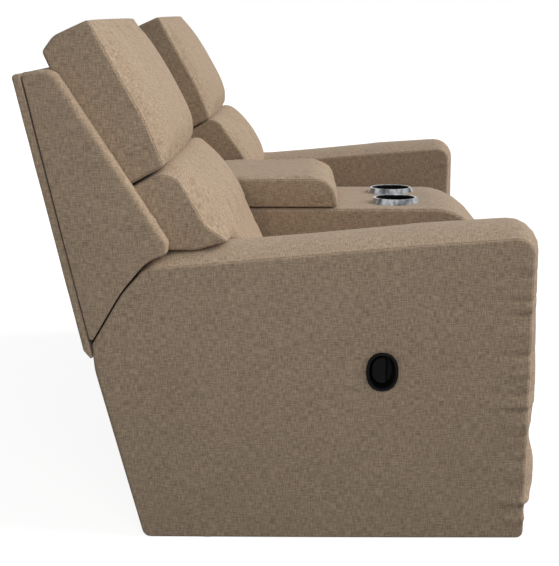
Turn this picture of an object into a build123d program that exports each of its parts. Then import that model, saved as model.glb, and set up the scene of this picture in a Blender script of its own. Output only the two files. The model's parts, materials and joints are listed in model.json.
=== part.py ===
from build123d import *
import math
import os

# Reclining loveseat with a centre console, in millimetres.
# X runs across the seats, the front is towards -Y, Z is up.
# The origin is on the floor at the middle of the footprint.
# Every side piece is drawn on the sitter's left (+X) and mirrored to the right.

# Overall sizes
overall_width = 1955.0
overall_depth = 1032.0
glide_height = 6.0
glide_radius = 22.0

# Cutting shapes reach this far past the faces that they cut; edges are found within the tolerance
overshoot = 1.0
edge_tolerance = 1e-3

# Widths of the bays
arm_width = 225.0
console_width = 440.0
console_gap = 4.0
arm_gap = 4.5

# Back: rear face, seam with the arm, wings and cushions
back_lean = 12.36
back_top = 933.0
back_crown = 10.0
outside_back_thickness = 17.0
back_board_thickness = 22.0
back_board_top_drop = 10.0
back_board_foot = 380.0
back_board_step = 500.0
back_board_outer_foot = 470.0
outside_back_foot = 250.0
outer_wing_thickness = 38.5
inner_wing_thickness = 40.0
wing_front_drop = 86.0
wing_nose_height = 604.0
wing_nose_reach = 288.0
wing_nose_bevel = 14.0
wing_corner_radius = 12.0
inner_wing_foot = 505.0
cushion_clearance = 3.0
soft_gap = 0.4
headrest_bottom_front = 757.0
headrest_bottom_reach = 284.0
headrest_top_front = 1036.0
headrest_top_reach = 141.0
headrest_rear_top = 978.0
headrest_rear_reach = 50.0
headrest_ridge_height = 998.0
headrest_ridge_reach = 75.0
headrest_crown = 26.0
headrest_edge_bow = 3.0
headrest_ridge_bow = 2.0
headrest_top_crown = 6.0
headrest_top_edge_bow = 2.0
cushion_split_slope = 0.554
cushion_split_gap = 2.5
lumbar_foot = 503.0
lumbar_foot_reach = 449.0
lumbar_top_reach = 297.0
lumbar_crown = 27.0
lumbar_edge_bow = 3.0
lumbar_over_arm_front = 606.0
lumbar_over_arm_rear = 590.0
recline_pivot_height = 224.0
recline_pivot_reach = 321.0

# Arm: outline in the side view
arm_front_setback = 11.0
arm_front_height = 629.0
arm_middle_height = 606.0
arm_flat_length = 105.0
arm_corner_radius = 62.0
arm_edge_radius = 30.0
arm_seam_top_height = 560.0
arm_seam_top_reach = 264.0
arm_seam_low_height = 402.0
arm_seam_low_reach = 140.0
arm_kink_height = 352.0
arm_foot_reach = 235.0
arm_padding = 30.0
arm_side_padding = 20.0
arm_panel = 15.0
seam_gap = 3.0
frame_clearance = 0.5

# Console body, bin, cup holders, back pad and lid
console_front_setback = 4.0
console_top = 568.0
console_corner_radius = 120.0
console_edge_radius = 22.0
console_rear_setback = 20.0
console_padding = 30.0
console_side_padding = 22.0
console_panel = 15.0
bin_width = 344.0
bin_front_margin = 35.0
bin_depth = 230.0
bin_wall = 4.0
bin_rear_margin = 27.0
cup_spacing = 204.0
cup_from_front = 245.0
cup_bore_radius = 49.5
cup_wall = 2.5
cup_depth = 72.0
rim_base_radius = 62.5
rim_top_radius = 55.5
rim_height = 13.0
console_back_height = 905.0
console_back_front_reach = 216.0
console_back_top_thickness = 96.0
console_back_crown = 9.0
console_back_edge_bow = 2.0
console_back_side_gap = 2.0
lid_gap = 4.0
lid_height = 74.0
lid_cup_gap = 91.5
lid_rear_reach = 301.0
lid_nose_length = 62.0
lid_crown = 5.0
lid_edge_drop = 1.0
lid_nose_bow = 13.5
lid_side_margin = 1.0
lid_board_thickness = 15.0
lid_board_margin = 20.0
hinge_rod_radius = 4.0
hinge_barrel_radius = 8.0
hinge_block_radius = 9.0
hinge_leaf_thickness = 3.0
hinge_leaf_width = 260.0
hinge_leaf_height = 27.0
hinge_axis_rise = 10.0
hinge_block_width = 20.0
hinge_barrel_length = 60.0
hinge_end_gap = 1.0
running_clearance = 0.05

# Seat
seat_frame_foot = 350.0
seat_frame_height = 45.0
seat_rail_width = 30.0
seat_frame_front_gap = 10.0
seat_frame_rear_reach = 426.0
seat_spring_count = 5
seat_spring_wire = 4.0
seat_spring_swing = 22.0
seat_spring_pitch = 24.0
seat_cushion_height = 96.0
seat_cushion_front_setback = 14.0
seat_cushion_rear_reach = 431.0
seat_cushion_rear_drop = 20.0
seat_cushion_crown = 10.0
seat_cushion_draw_in = 9.0
seat_cushion_gap = 2.0
seat_cushion_edge_bow = 4.0
seat_nose_undercut = 29.0
seat_nose_length = 34.0
seat_nose_drop = 38.0
seat_nose_rise = 24.0
seat_nose_top_bow = 7.0
seat_nose_front_bow = 2.0
seat_nose_under_bow = 5.0

# Footrest and its folding links
footrest_foot = 66.0
footrest_top_gap = 13.0
footrest_side_gap = 6.0
footrest_pad_thickness = 46.0
footrest_pad_crown = 16.0
footrest_draw_in = 8.0
footrest_edge_bow = 4.0
footrest_side_bow = 3.0
footrest_board_thickness = 18.0
footrest_board_margin = 8.0
footrest_pivot_behind = 22.0
footrest_pivot_height = 330.0
folded_reach = 170.0
link_length = 240.0
link_width = 26.0
link_thickness = 5.0
link_gap = 1.0
torque_tube_radius = 12.0
torque_tube_bore = 8.0
pivot_pin_radius = 6.0
joint_pin_radius = 5.0
pin_head_radius = 9.0
pin_head_thickness = 3.0
press_clearance = 0.02
bracket_flange_width = 45.0
bracket_flange_height = 120.0
bracket_flange_thickness = 4.0

# Mechanism plates, base rails and rear aprons
plate_thickness = 4.0
plate_inset = 12.0
plate_flange_width = 26.0
plate_waist_height = 60.0
plate_front_margin = 25.0
plate_rear_margin = 25.0
plate_foot_length = 65.0
plate_belly_height = 170.0
rail_foot = 25.0
rail_height = 90.0
rail_thickness = 22.0
front_rail_behind_pivot = 60.0
rear_rail_before_pivot = 45.0
apron_top = 222.0
apron_thickness = 12.0

# Release handle in the arm's outer side, and its cable
handle_from_front = 320.0
handle_height = 350.0
handle_rim_width = 65.0
handle_rim_height = 80.0
handle_rim_border = 5.0
handle_rim_proud = 4.0
handle_rim_bevel = 2.8
handle_cup_wall = 3.0
handle_cup_depth = 36.0
lever_thickness = 5.0
lever_recess = 11.5
lever_side_clearance = 3.0
lever_pivot_offset = 12.0
lever_grip_offset = 8.0
lever_trunnion_radius = 2.0
lever_trunnion_seat = 2.0
cable_radius = 3.0
cable_clearance = 0.3

# Places that follow from the sizes above
front = -overall_depth / 2
rear = overall_depth / 2
half_width = overall_width / 2
base = glide_height
arm_inner = half_width - arm_width
console_half = console_width / 2
bay_inner = console_half + console_gap
bay_outer = arm_inner - arm_gap
bay_middle = (bay_inner + bay_outer) / 2
cushion_inner = bay_inner + inner_wing_thickness + cushion_clearance
wing_inner = half_width - outer_wing_thickness
cushion_outer = wing_inner - cushion_clearance
cushion_middle = (cushion_inner + cushion_outer) / 2
seat_top = seat_frame_foot + seat_frame_height + seat_spring_wire
pivot_y = rear - recline_pivot_reach
pivot_z = recline_pivot_height
board_front = front + footrest_pad_thickness
board_rear = board_front + footrest_board_thickness
toe_y = board_rear + footrest_pivot_behind
toe_z = footrest_pivot_height
hip_y = toe_y + folded_reach
hip_z = footrest_pivot_height
knee_y = (toe_y + hip_y) / 2
knee_z = hip_z - math.sqrt(link_length ** 2 - (folded_reach / 2) ** 2)
footrest_top = seat_top - footrest_top_gap
plate_outer = bay_outer - plate_inset
handle_y = front + handle_from_front
lid_bottom = console_top + lid_gap
lid_top = lid_bottom + lid_height
lid_rear = rear - lid_rear_reach
hinge_y = lid_rear + hinge_block_radius + soft_gap
hinge_z = console_top + hinge_axis_rise
cup_y = front + cup_from_front
lid_front = cup_y + rim_base_radius + lid_cup_gap


def back_line(height, inset=0.0):
    """Y of the back's leaning rear face at a height, moved forward by an inset."""
    return rear - (back_top - height) * math.tan(math.radians(back_lean)) - inset


def outline(x, points, bows=None):
    """Face in the plane X = x through (y, z) points, anticlockwise; each side may bow outwards."""
    bows = bows or [0.0] * len(points)
    sides = []
    for start, end, bow in zip(points, points[1:] + points[:1], bows):
        if bow == 0.0:
            sides.append(Line(start, end))
            continue
        along = Vector(*end) - Vector(*start)
        outward = Vector(along.Y, -along.X).normalized()
        middle = (Vector(*start) + Vector(*end)) / 2 + outward * bow
        sides.append(ThreePointArc(start, middle, end))
    return Plane.YZ.offset(x) * make_face(Wire(sides))


def rounded(face, point, radius):
    """Face in a plane of constant X with its corner nearest to (y, z) rounded."""
    x = face.center().X
    corner = face.vertices().sort_by_distance((x, point[0], point[1]))[0]
    return fillet(corner, radius)


def along_x(face, x_end):
    """Solid from a face in a plane of constant X to another X."""
    return extrude(face, x_end - face.center().X, dir=(1, 0, 0))


def slab(points, x_start, x_end):
    """Solid with straight sides through (y, z) points, between two values of X."""
    return along_x(outline(x_start, points), x_end)


def block(x_range, y_range, z_range):
    """Box between pairs of coordinates."""
    sizes = [high - low for low, high in (x_range, y_range, z_range)]
    middle = [(high + low) / 2 for low, high in (x_range, y_range, z_range)]
    return Pos(*middle) * Box(*sizes)


def rod_x(x_start, x_end, y, z, radius):
    """Round bar along X."""
    return along_x(Plane.YZ.offset(x_start) * Pos(y, z) * Circle(radius), x_end)


def oval_x(x_start, x_end, y, z, radius_y, radius_z):
    """Oval bar along X."""
    return along_x(Plane.YZ.offset(x_start) * Pos(y, z) * Ellipse(radius_y, radius_z), x_end)


def other_side(part):
    """The same piece on the sitter's right."""
    return mirror(part, about=Plane.YZ)


def inside(face, inset):
    """Outline drawn in by an equal amount all round."""
    return offset(face, -inset, kind=Kind.INTERSECTION)


# Arm

arm_front = front + arm_front_setback
seam_top = (rear - arm_seam_top_reach, arm_seam_top_height)
seam_low = (rear - arm_seam_low_reach, arm_seam_low_height)
seam_drop = math.hypot(seam_low[0] - seam_top[0], seam_low[1] - seam_top[1])
seam_normal = ((seam_top[1] - seam_low[1]) / seam_drop, (seam_low[0] - seam_top[0]) / seam_drop)


def arm_outline(x):
    """Side view of the arm: rises to the front, cut along the seam with the back."""
    foot = (rear - arm_foot_reach, base)
    kink = (seam_low[0], arm_kink_height)
    top_front = (arm_front, arm_front_height)
    flat_end = (arm_front + arm_corner_radius + arm_flat_length, arm_front_height)
    middle = ((flat_end[0] + seam_top[0]) / 2, arm_middle_height)
    path = [
        Line((arm_front, base), foot),
        Line(foot, kink),
        Line(kink, seam_low),
        Line(seam_low, seam_top),
        ThreePointArc(seam_top, middle, flat_end),
        Line(flat_end, top_front),
        Line(top_front, (arm_front, base)),
    ]
    face = Plane.YZ.offset(x) * make_face(Wire(path))
    return rounded(face, top_front, arm_corner_radius)


def handle_opening(x_start, x_end):
    """Oval hole that the handle cup drops into."""
    border = handle_rim_border - frame_clearance
    return oval_x(x_start, x_end, handle_y, handle_height,
                  handle_rim_width / 2 - border, handle_rim_height / 2 - border)


def cable_hole():
    """Hole for the release cable through the arm's inner walls."""
    return rod_x(arm_inner - overshoot, half_width - arm_width / 2, handle_y, handle_height,
                 cable_radius + cable_clearance)


def arm_cover():
    """Padded cover, soft at its top and front edges, hollow for the frame."""
    cover = along_x(arm_outline(arm_inner), half_width)
    soft_edges = [
        edge
        for edge in cover.edges()
        if min(abs(edge.center().X - half_width), abs(edge.center().X - arm_inner)) < edge_tolerance
        if edge.center().Y < arm_front + edge_tolerance or edge.center().Z > arm_seam_top_height
    ]
    cover = fillet(soft_edges, arm_edge_radius)
    cavity = inside(arm_outline(arm_inner + arm_side_padding), arm_padding)
    cover -= along_x(cavity, half_width - arm_side_padding)
    return cover - handle_opening(half_width - arm_padding, half_width + overshoot) - cable_hole()


def arm_frame():
    """Wooden box frame inside the arm cover."""
    wall = arm_padding + frame_clearance
    x_start = arm_inner + arm_side_padding + frame_clearance
    x_end = half_width - arm_side_padding - frame_clearance
    frame = along_x(inside(arm_outline(x_start), wall), x_end)
    hollow = inside(arm_outline(x_start + arm_panel), wall + arm_panel)
    frame -= along_x(hollow, x_end - arm_panel)
    return frame - handle_opening(x_end - 2 * arm_panel, x_end + overshoot) - cable_hole()


def handle_cup():
    """Black oval cup with a bevelled rim and two pivot seats for the lever."""
    radius_y = handle_rim_width / 2
    radius_z = handle_rim_height / 2
    rim = oval_x(half_width, half_width + handle_rim_proud, handle_y, handle_height, radius_y, radius_z)
    rim = chamfer(rim.faces().sort_by(Axis.X)[-1].edges(), handle_rim_bevel)
    cup = rim + oval_x(half_width - handle_cup_depth, half_width, handle_y, handle_height,
                       radius_y - handle_rim_border, radius_z - handle_rim_border)
    dish = handle_rim_border + handle_cup_wall
    cup -= oval_x(half_width - handle_cup_depth + handle_cup_wall, half_width + handle_rim_proud + overshoot,
                  handle_y, handle_height, radius_y - dish, radius_z - dish)
    return cup - lever_trunnion(running_clearance, running_clearance)


def lever_trunnion(extra_radius, extra_length):
    """Upright pivot of the lever, ending in the cup's wall."""
    dish = handle_rim_border + handle_cup_wall
    radius_y = handle_rim_width / 2 - dish
    radius_z = handle_rim_height / 2 - dish
    half_chord = radius_z * math.sqrt(1 - (lever_pivot_offset / radius_y) ** 2)
    length = 2 * (half_chord + lever_trunnion_seat + extra_length)
    middle = half_width - lever_recess - lever_thickness / 2
    return Pos(middle, handle_y + lever_pivot_offset, handle_height) * Cylinder(
        lever_trunnion_radius + extra_radius, length)


def release_lever():
    """Oval paddle that is pulled outwards by its front edge."""
    inset = handle_rim_border + handle_cup_wall + lever_side_clearance
    x_end = half_width - lever_recess
    x_start = x_end - lever_thickness
    paddle = oval_x(x_start, x_end, handle_y, handle_height,
                    handle_rim_width / 2 - inset, handle_rim_height / 2 - inset)
    front_part = block((x_start - overshoot, x_end + overshoot),
                       (handle_y - handle_rim_width, handle_y - lever_grip_offset),
                       (handle_height - handle_rim_height, handle_height + handle_rim_height))
    return paddle - front_part + lever_trunnion(0.0, 0.0)


def release_cable():
    """Cable housing from the cup's back to the outer mechanism plate."""
    return rod_x(plate_outer, half_width - handle_cup_depth, handle_y, handle_height, cable_radius)


# Reclining back

wing_rear = outside_back_thickness
board_inset = outside_back_thickness + back_board_thickness
cushion_inset = board_inset + soft_gap


def wing_outline(x, foot_points):
    """Side view of a wing, with a crowned top and a straight leaning front edge."""
    top_front_y = back_line(back_top, wing_front_drop)
    nose = (rear - wing_nose_reach, wing_nose_height)
    points = foot_points + [
        (back_line(back_top, wing_rear), back_top),
        (top_front_y, back_top),
        nose,
    ]
    bows = [0.0] * len(foot_points) + [back_crown, 0.0, 0.0]
    return outline(x, points, bows)


def outer_wing():
    """Wing beside the cushions whose lower edge runs along the arm's seam."""
    clear = seam_gap
    edge_top = (seam_top[0] + clear * seam_normal[0], seam_top[1] + clear * seam_normal[1])
    edge_low = (seam_low[0] + clear * seam_normal[0], seam_low[1] + clear * seam_normal[1])
    along = (edge_low[0] - edge_top[0], edge_low[1] - edge_top[1])
    nose_rise = wing_nose_height - wing_nose_bevel
    share = (nose_rise - edge_top[1]) / along[1]
    edge_nose = (edge_top[0] + along[0] * share, nose_rise)
    tail = (back_line(edge_low[1], wing_rear), edge_low[1])
    face = wing_outline(wing_inner, [edge_nose, edge_low, tail])
    face = rounded(face, (back_line(back_top, wing_front_drop), back_top), wing_corner_radius)
    return along_x(face, half_width)


def inner_wing():
    """Wing on the console side, reaching down beside the seat."""
    slope = (back_line(back_top, wing_front_drop) - rear + wing_nose_reach) / (back_top - wing_nose_height)
    foot_front = (rear - wing_nose_reach - (wing_nose_height - inner_wing_foot) * slope, inner_wing_foot)
    foot_rear = (back_line(inner_wing_foot, wing_rear), inner_wing_foot)
    face = wing_outline(bay_inner, [foot_front, foot_rear])
    face = rounded(face, (back_line(back_top, wing_front_drop), back_top), wing_corner_radius)
    return along_x(face, bay_inner + inner_wing_thickness)


def back_strip(x_start, x_end, z_start, z_end, inset_front, inset_rear):
    """Leaning board between two insets from the back's rear face."""
    points = [
        (back_line(z_start, inset_front), z_start),
        (back_line(z_start, inset_rear), z_start),
        (back_line(z_end, inset_rear), z_end),
        (back_line(z_end, inset_front), z_end),
    ]
    return slab(points, x_start, x_end)


def outside_back():
    """Rear panel: full width above the arm, and down between arm and console."""
    panel = back_strip(bay_inner, half_width, arm_seam_low_height, back_top, outside_back_thickness, 0.0)
    return panel + back_strip(bay_inner + console_gap, bay_outer, outside_back_foot, arm_seam_low_height,
                              outside_back_thickness, 0.0)


def back_board():
    """Wooden back, narrower below the arm's seam where the hinge brackets hold it."""
    x_start = bay_inner + inner_wing_thickness
    top = back_top - back_board_top_drop
    board = back_strip(x_start, wing_inner, back_board_step, top, board_inset, outside_back_thickness)
    board += back_strip(x_start, bay_outer, back_board_outer_foot, back_board_step, board_inset,
                        outside_back_thickness)
    return board + back_strip(bracket_inner[1], bracket_outer[0], back_board_foot, back_board_outer_foot,
                              board_inset, outside_back_thickness)


def split_height(y, rise=0.0):
    """Height of the sloping joint between the head and lumbar cushions."""
    return headrest_bottom_front - (y - rear + headrest_bottom_reach) * cushion_split_slope + rise


def split_rear(inset):
    """Point where the sloping joint meets the back board."""
    lean = math.tan(math.radians(back_lean))
    run = back_line(headrest_bottom_front, inset) - rear + headrest_bottom_reach
    height = headrest_bottom_front - run * cushion_split_slope / (1 + cushion_split_slope * lean)
    return (back_line(height, inset), height)


def headrest_outline(x, crown, top_bow):
    """Side view of the head cushion."""
    points = [
        split_rear(cushion_inset),
        (rear - headrest_rear_reach, headrest_rear_top),
        (rear - headrest_ridge_reach, headrest_ridge_height),
        (rear - headrest_top_reach, headrest_top_front),
        (rear - headrest_bottom_reach, headrest_bottom_front),
    ]
    return outline(x, points, [0.0, headrest_ridge_bow, top_bow, crown, 0.0])


def headrest_cushion():
    """Head cushion, crowned in the middle and drawn in at its sewn sides."""
    return loft([
        headrest_outline(cushion_inner, headrest_edge_bow, headrest_top_edge_bow),
        headrest_outline(cushion_middle, headrest_crown, headrest_top_crown),
        headrest_outline(cushion_outer, headrest_edge_bow, headrest_top_edge_bow),
    ])


def lumbar_outline(x, crown):
    """Side view of the lumbar cushion down to the seat."""
    top_front = rear - lumbar_top_reach
    top_rear = split_rear(cushion_inset)
    drop = cushion_split_gap
    points = [
        (rear - lumbar_foot_reach, lumbar_foot),
        (back_line(lumbar_foot, cushion_inset), lumbar_foot),
        (back_line(top_rear[1] - drop, cushion_inset), top_rear[1] - drop),
        (top_front, split_height(top_front, -drop)),
    ]
    return outline(x, points, [0.0, 0.0, 0.0, crown])


def lumbar_cushion():
    """Lumbar cushion that lies over the arm at its outer end."""
    cushion = loft([
        lumbar_outline(cushion_inner, lumbar_edge_bow),
        lumbar_outline(cushion_middle, lumbar_crown),
        lumbar_outline(cushion_outer, lumbar_edge_bow),
    ])
    over_arm = [
        (front, lumbar_foot - overshoot),
        (rear, lumbar_foot - overshoot),
        (rear, lumbar_over_arm_rear),
        (seam_top[0], lumbar_over_arm_rear),
        (rear - lumbar_foot_reach, lumbar_over_arm_front),
        (front, lumbar_over_arm_front),
    ]
    return cushion - slab(over_arm, bay_outer, half_width)


# Folding mechanism, drawn in layers from the plates inwards

def layer(index, thickness):
    """X ranges of a layer of links: on the arm side and on the console side."""
    start = plate_thickness + link_gap + index * (link_thickness + link_gap)
    outer = (plate_outer - start - thickness, plate_outer - start)
    inner = (bay_inner + plate_inset + start, bay_inner + plate_inset + start + thickness)
    return outer, inner


plate_ranges = (
    (plate_outer - plate_thickness, plate_outer),
    (bay_inner + plate_inset, bay_inner + plate_inset + plate_thickness),
)
drive_ranges = layer(0, link_thickness)
fold_ranges = layer(1, link_thickness)
toe_ranges = layer(2, link_thickness)
bracket_outer, bracket_inner = drive_ranges


def mechanism_plates():
    """Steel side plates that stand on the base rails and carry the seat frame."""
    flange_top = seat_frame_foot
    front_end = hip_y - plate_front_margin
    rear_end = pivot_y + plate_rear_margin
    rail_top = rail_foot + rail_height
    front_foot = hip_y + front_rail_behind_pivot
    rear_foot = pivot_y - rear_rail_before_pivot
    waist = pivot_z + plate_waist_height
    points = [
        (front_foot, rail_top),
        (front_foot + plate_foot_length, rail_top),
        (front_foot + plate_foot_length, plate_belly_height),
        (rear_foot - plate_foot_length, plate_belly_height),
        (rear_foot - plate_foot_length, rail_top),
        (rear_foot, rail_top),
        (rear_end, pivot_z - plate_rear_margin),
        (rear_end, pivot_z + plate_rear_margin),
        (rear_foot, waist),
        (rear_foot, flange_top),
        (front_end, flange_top),
        (front_end, hip_z - plate_front_margin),
    ]
    plates = []
    for (x_start, x_end), side in zip(plate_ranges, (-1, 1)):
        plate = slab(points, x_start, x_end)
        edge = x_start if side < 0 else x_end
        flange_x = sorted((edge, edge + side * plate_flange_width))
        plate += block(flange_x, (hip_y + pin_head_radius * 2, rear_foot),
                       (flange_top - plate_thickness, flange_top))
        for y, z in ((pivot_y, pivot_z), (hip_y, hip_z)):
            plate -= rod_x(x_start - overshoot, x_end + overshoot, y, z, pivot_pin_radius + press_clearance)
        plates.append(plate)
    return Compound(children=plates)


def headed_pins(y, z, radius, head_side_ranges, inner_ranges):
    """Pins from a headed layer on the outside to the inner face of the last layer."""
    pins = []
    for head_range, last_range, side in zip(head_side_ranges, inner_ranges, (1, -1)):
        head_face = head_range[1] if side > 0 else head_range[0]
        far_face = last_range[0] if side > 0 else last_range[1]
        x_start, x_end = sorted((head_face, far_face))
        pin = rod_x(x_start, x_end, y, z, radius)
        cap = sorted((head_face, head_face + side * pin_head_thickness))
        pins.append(pin + rod_x(cap[0], cap[1], y, z, pin_head_radius))
    return pins


def pivot_pins():
    """Pins fixed in the plates: two for the back hinge and two for the drive links."""
    pins = headed_pins(pivot_y, pivot_z, pivot_pin_radius, plate_ranges, drive_ranges)
    pins += headed_pins(hip_y, hip_z, pivot_pin_radius, plate_ranges, drive_ranges)
    return pins


def link_pair(start, end, ranges, start_hole, end_hole):
    """Two flat links with round ends, one by each plate."""
    middle = ((start[0] + end[0]) / 2, (start[1] + end[1]) / 2)
    length = math.hypot(end[0] - start[0], end[1] - start[1])
    turn = math.degrees(math.atan2(end[1] - start[1], end[0] - start[0]))
    links = []
    for x_start, x_end in ranges:
        face = Plane.YZ.offset(x_start) * Pos(*middle) * SlotCenterToCenter(length, link_width, rotation=turn)
        link = along_x(face, x_end)
        link -= rod_x(x_start - overshoot, x_end + overshoot, start[0], start[1], start_hole)
        link -= rod_x(x_start - overshoot, x_end + overshoot, end[0], end[1], end_hole)
        links.append(link)
    return Compound(children=links)


def drive_links():
    """Links from the plates to the knee, welded to the torque tube."""
    return link_pair((hip_y, hip_z), (knee_y, knee_z), drive_ranges,
                     pivot_pin_radius + running_clearance, joint_pin_radius + press_clearance)


def torque_tube():
    """Tube that turns both drive links together."""
    x_start = drive_ranges[1][1]
    x_end = drive_ranges[0][0]
    tube = rod_x(x_start, x_end, hip_y, hip_z, torque_tube_radius)
    return tube - rod_x(x_start - overshoot, x_end + overshoot, hip_y, hip_z, torque_tube_bore)


def knee_pins():
    """Pins fixed in the drive links, on which the fold links turn."""
    return Compound(children=headed_pins(knee_y, knee_z, joint_pin_radius, drive_ranges, fold_ranges))


def fold_links():
    """Links from the knee to the footrest brackets."""
    return link_pair((knee_y, knee_z), (toe_y, toe_z), fold_ranges,
                     joint_pin_radius + running_clearance, joint_pin_radius + press_clearance)


def toe_pins():
    """Pins fixed in the fold links, on which the footrest brackets turn."""
    return Compound(children=headed_pins(toe_y, toe_z, joint_pin_radius, fold_ranges, toe_ranges))


def footrest_brackets():
    """Angle brackets screwed to the footrest board, with an ear for the toe pin."""
    brackets = []
    for (x_start, x_end), side in zip(toe_ranges, (-1, 1)):
        half_ear = link_width / 2
        ear = rod_x(x_start, x_end, toe_y, toe_z, half_ear)
        ear += block((x_start, x_end), (board_rear, toe_y), (toe_z - half_ear, toe_z + half_ear))
        web = x_end if side < 0 else x_start
        flange_x = sorted((web, web + side * bracket_flange_width))
        ear += block(flange_x, (board_rear, board_rear + bracket_flange_thickness),
                     (toe_z + half_ear - bracket_flange_height, toe_z + half_ear))
        brackets.append(ear - rod_x(x_start - overshoot, x_end + overshoot, toe_y, toe_z,
                                    joint_pin_radius + running_clearance))
    return Compound(children=brackets)


def footrest_board():
    """Plywood board behind the footrest pad."""
    margin = footrest_side_gap + footrest_board_margin
    return block((bay_inner + margin, bay_outer - margin), (board_front, board_rear),
                 (footrest_foot + footrest_board_margin, footrest_top - footrest_board_margin))


def footrest_outline(x, draw_in, crown):
    """Side view of the footrest pad, flat on its board."""
    face_y = front + footrest_pad_crown + draw_in
    foot = footrest_foot + draw_in
    top = footrest_top - draw_in
    points = [(board_front, foot), (board_front, top), (face_y, top - draw_in), (face_y, foot + draw_in)]
    return outline(x, points, [0.0, footrest_side_bow, crown, footrest_side_bow])


def footrest_pad():
    """Footrest pad, crowned to the front and drawn in at both ends."""
    return loft([
        footrest_outline(bay_inner + footrest_side_gap, footrest_draw_in, footrest_edge_bow),
        footrest_outline(bay_middle, 0.0, footrest_pad_crown),
        footrest_outline(bay_outer - footrest_side_gap, footrest_draw_in, footrest_edge_bow),
    ])


def hinge_brackets():
    """Steel brackets from the recline pivot up to the edges of the back board."""
    low = back_board_foot
    high = back_board_outer_foot
    reach = plate_rear_margin
    points = [
        (pivot_y - reach, pivot_z - reach),
        (pivot_y + reach, pivot_z - reach),
        (back_line(low, outside_back_thickness), low),
        (back_line(high, outside_back_thickness), high),
        (back_line(high, board_inset), high),
        (pivot_y - reach, pivot_z + reach),
    ]
    brackets = []
    for x_start, x_end in drive_ranges:
        bracket = slab(points, x_start, x_end)
        brackets.append(bracket - rod_x(x_start - overshoot, x_end + overshoot, pivot_y, pivot_z,
                                        pivot_pin_radius + running_clearance))
    return Compound(children=brackets)


# Seat

seat_front_rail = board_rear + seat_frame_front_gap
seat_rear_rail = rear - seat_frame_rear_reach
seat_frame_inner = bay_inner + plate_inset
seat_frame_outer = plate_outer


def seat_frame():
    """Open wooden frame that stands on the plates' flanges."""
    z_range = (seat_frame_foot, seat_frame_foot + seat_frame_height)
    frame = block((seat_frame_inner, seat_frame_outer), (seat_front_rail, seat_rear_rail), z_range)
    return frame - block(
        (seat_frame_inner + seat_rail_width, seat_frame_outer - seat_rail_width),
        (seat_front_rail + seat_rail_width, seat_rear_rail - seat_rail_width),
        (z_range[0] - overshoot, z_range[1] + overshoot))


def seat_springs():
    """Flat zigzag springs from the front rail to the rear rail."""
    springs = []
    floor = seat_frame_foot + seat_frame_height
    start = seat_front_rail + seat_rail_width / 2
    end = seat_rear_rail - seat_rail_width / 2
    steps = int((end - start) / seat_spring_pitch)
    pitch = (end - start) / steps
    clear = seat_frame_outer - seat_frame_inner - 2 * seat_rail_width
    width = 2 * seat_spring_swing + seat_spring_wire
    for index in range(seat_spring_count):
        centre = seat_frame_inner + seat_rail_width + clear * (index + 0.5) / seat_spring_count
        wire = []
        for step in range(steps):
            side = seat_spring_swing * (-1) ** step
            y = start + step * pitch
            wire.append(Pos(centre + side, y + pitch / 2) * Rectangle(
                seat_spring_wire, pitch + seat_spring_wire))
            wire.append(Pos(centre, y) * Rectangle(width, seat_spring_wire))
        wire.append(Pos(centre, end) * Rectangle(width, seat_spring_wire))
        springs.append(extrude(Pos(0, 0, floor) * (Sketch() + wire), seat_spring_wire))
    return springs


def seat_outline(x, draw_in, crown):
    """Side view of the seat cushion with its rounded nose."""
    nose = front + seat_cushion_front_setback + draw_in
    tail = rear - seat_cushion_rear_reach
    top = seat_top + seat_cushion_height - seat_cushion_crown - draw_in
    points = [
        (nose + seat_nose_undercut, seat_top),
        (tail, seat_top),
        (tail, top - seat_cushion_rear_drop),
        (nose + seat_nose_length, top),
        (nose, top - seat_nose_drop),
        (nose, seat_top + seat_nose_rise),
    ]
    bows = [0.0, 0.0, crown, seat_nose_top_bow, seat_nose_front_bow, seat_nose_under_bow]
    return outline(x, points, bows)


def seat_cushion():
    """Seat cushion, crowned on top and drawn in at both sides."""
    return loft([
        seat_outline(bay_inner + seat_cushion_gap, seat_cushion_draw_in, seat_cushion_edge_bow),
        seat_outline(bay_middle, 0.0, seat_cushion_crown),
        seat_outline(bay_outer - seat_cushion_gap, seat_cushion_draw_in, seat_cushion_edge_bow),
    ])


# Console

console_front = front + console_front_setback
console_rear_top = back_line(console_top, console_rear_setback)


def console_outline(x):
    """Side view of the console body with its rounded front top corner."""
    points = [
        (console_front, base),
        (rear - arm_foot_reach, base),
        (seam_low[0], arm_kink_height),
        (console_rear_top, console_top),
        (console_front, console_top),
    ]
    return rounded(outline(x, points), (console_front, console_top), console_corner_radius)


bin_rear = lid_rear - bin_rear_margin
bin_front = lid_front + bin_front_margin


def bin_space(extra, z_start, z_end):
    """Straight-sided space for the storage bin."""
    half = bin_width / 2 + extra
    return block((-half, half), (bin_front - extra, bin_rear + extra), (z_start, z_end))


def cup_places():
    """Centres of the two cup holders."""
    return [(-cup_spacing / 2, cup_y), (cup_spacing / 2, cup_y)]


def drum(x, y, z_start, z_end, radius):
    """Upright round bar."""
    return Pos(x, y, (z_start + z_end) / 2) * Cylinder(radius, z_end - z_start)


well_radius = cup_bore_radius + cup_wall


def console_top_cut(part):
    """Opens the bin and the cup holders through the top."""
    depth = console_padding + 2 * console_panel + frame_clearance
    part -= bin_space(frame_clearance, console_top - depth, console_top + overshoot)
    for x, y in cup_places():
        part -= drum(x, y, console_top - depth, console_top + overshoot, well_radius + soft_gap)
    return part


def console_cover():
    """Padded cover of the console body, hollow for its frame."""
    cover = along_x(console_outline(-console_half), console_half)
    soft_edges = [
        edge
        for edge in cover.edges()
        if abs(abs(edge.center().X) - console_half) < edge_tolerance
        if (edge.center().Y < console_front + console_corner_radius
            or edge.center().Z > console_top - edge_tolerance)
    ]
    cover = fillet(soft_edges, console_edge_radius)
    side = console_half - console_side_padding
    cover -= along_x(inside(console_outline(-side), console_padding), side)
    return console_top_cut(cover)


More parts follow.
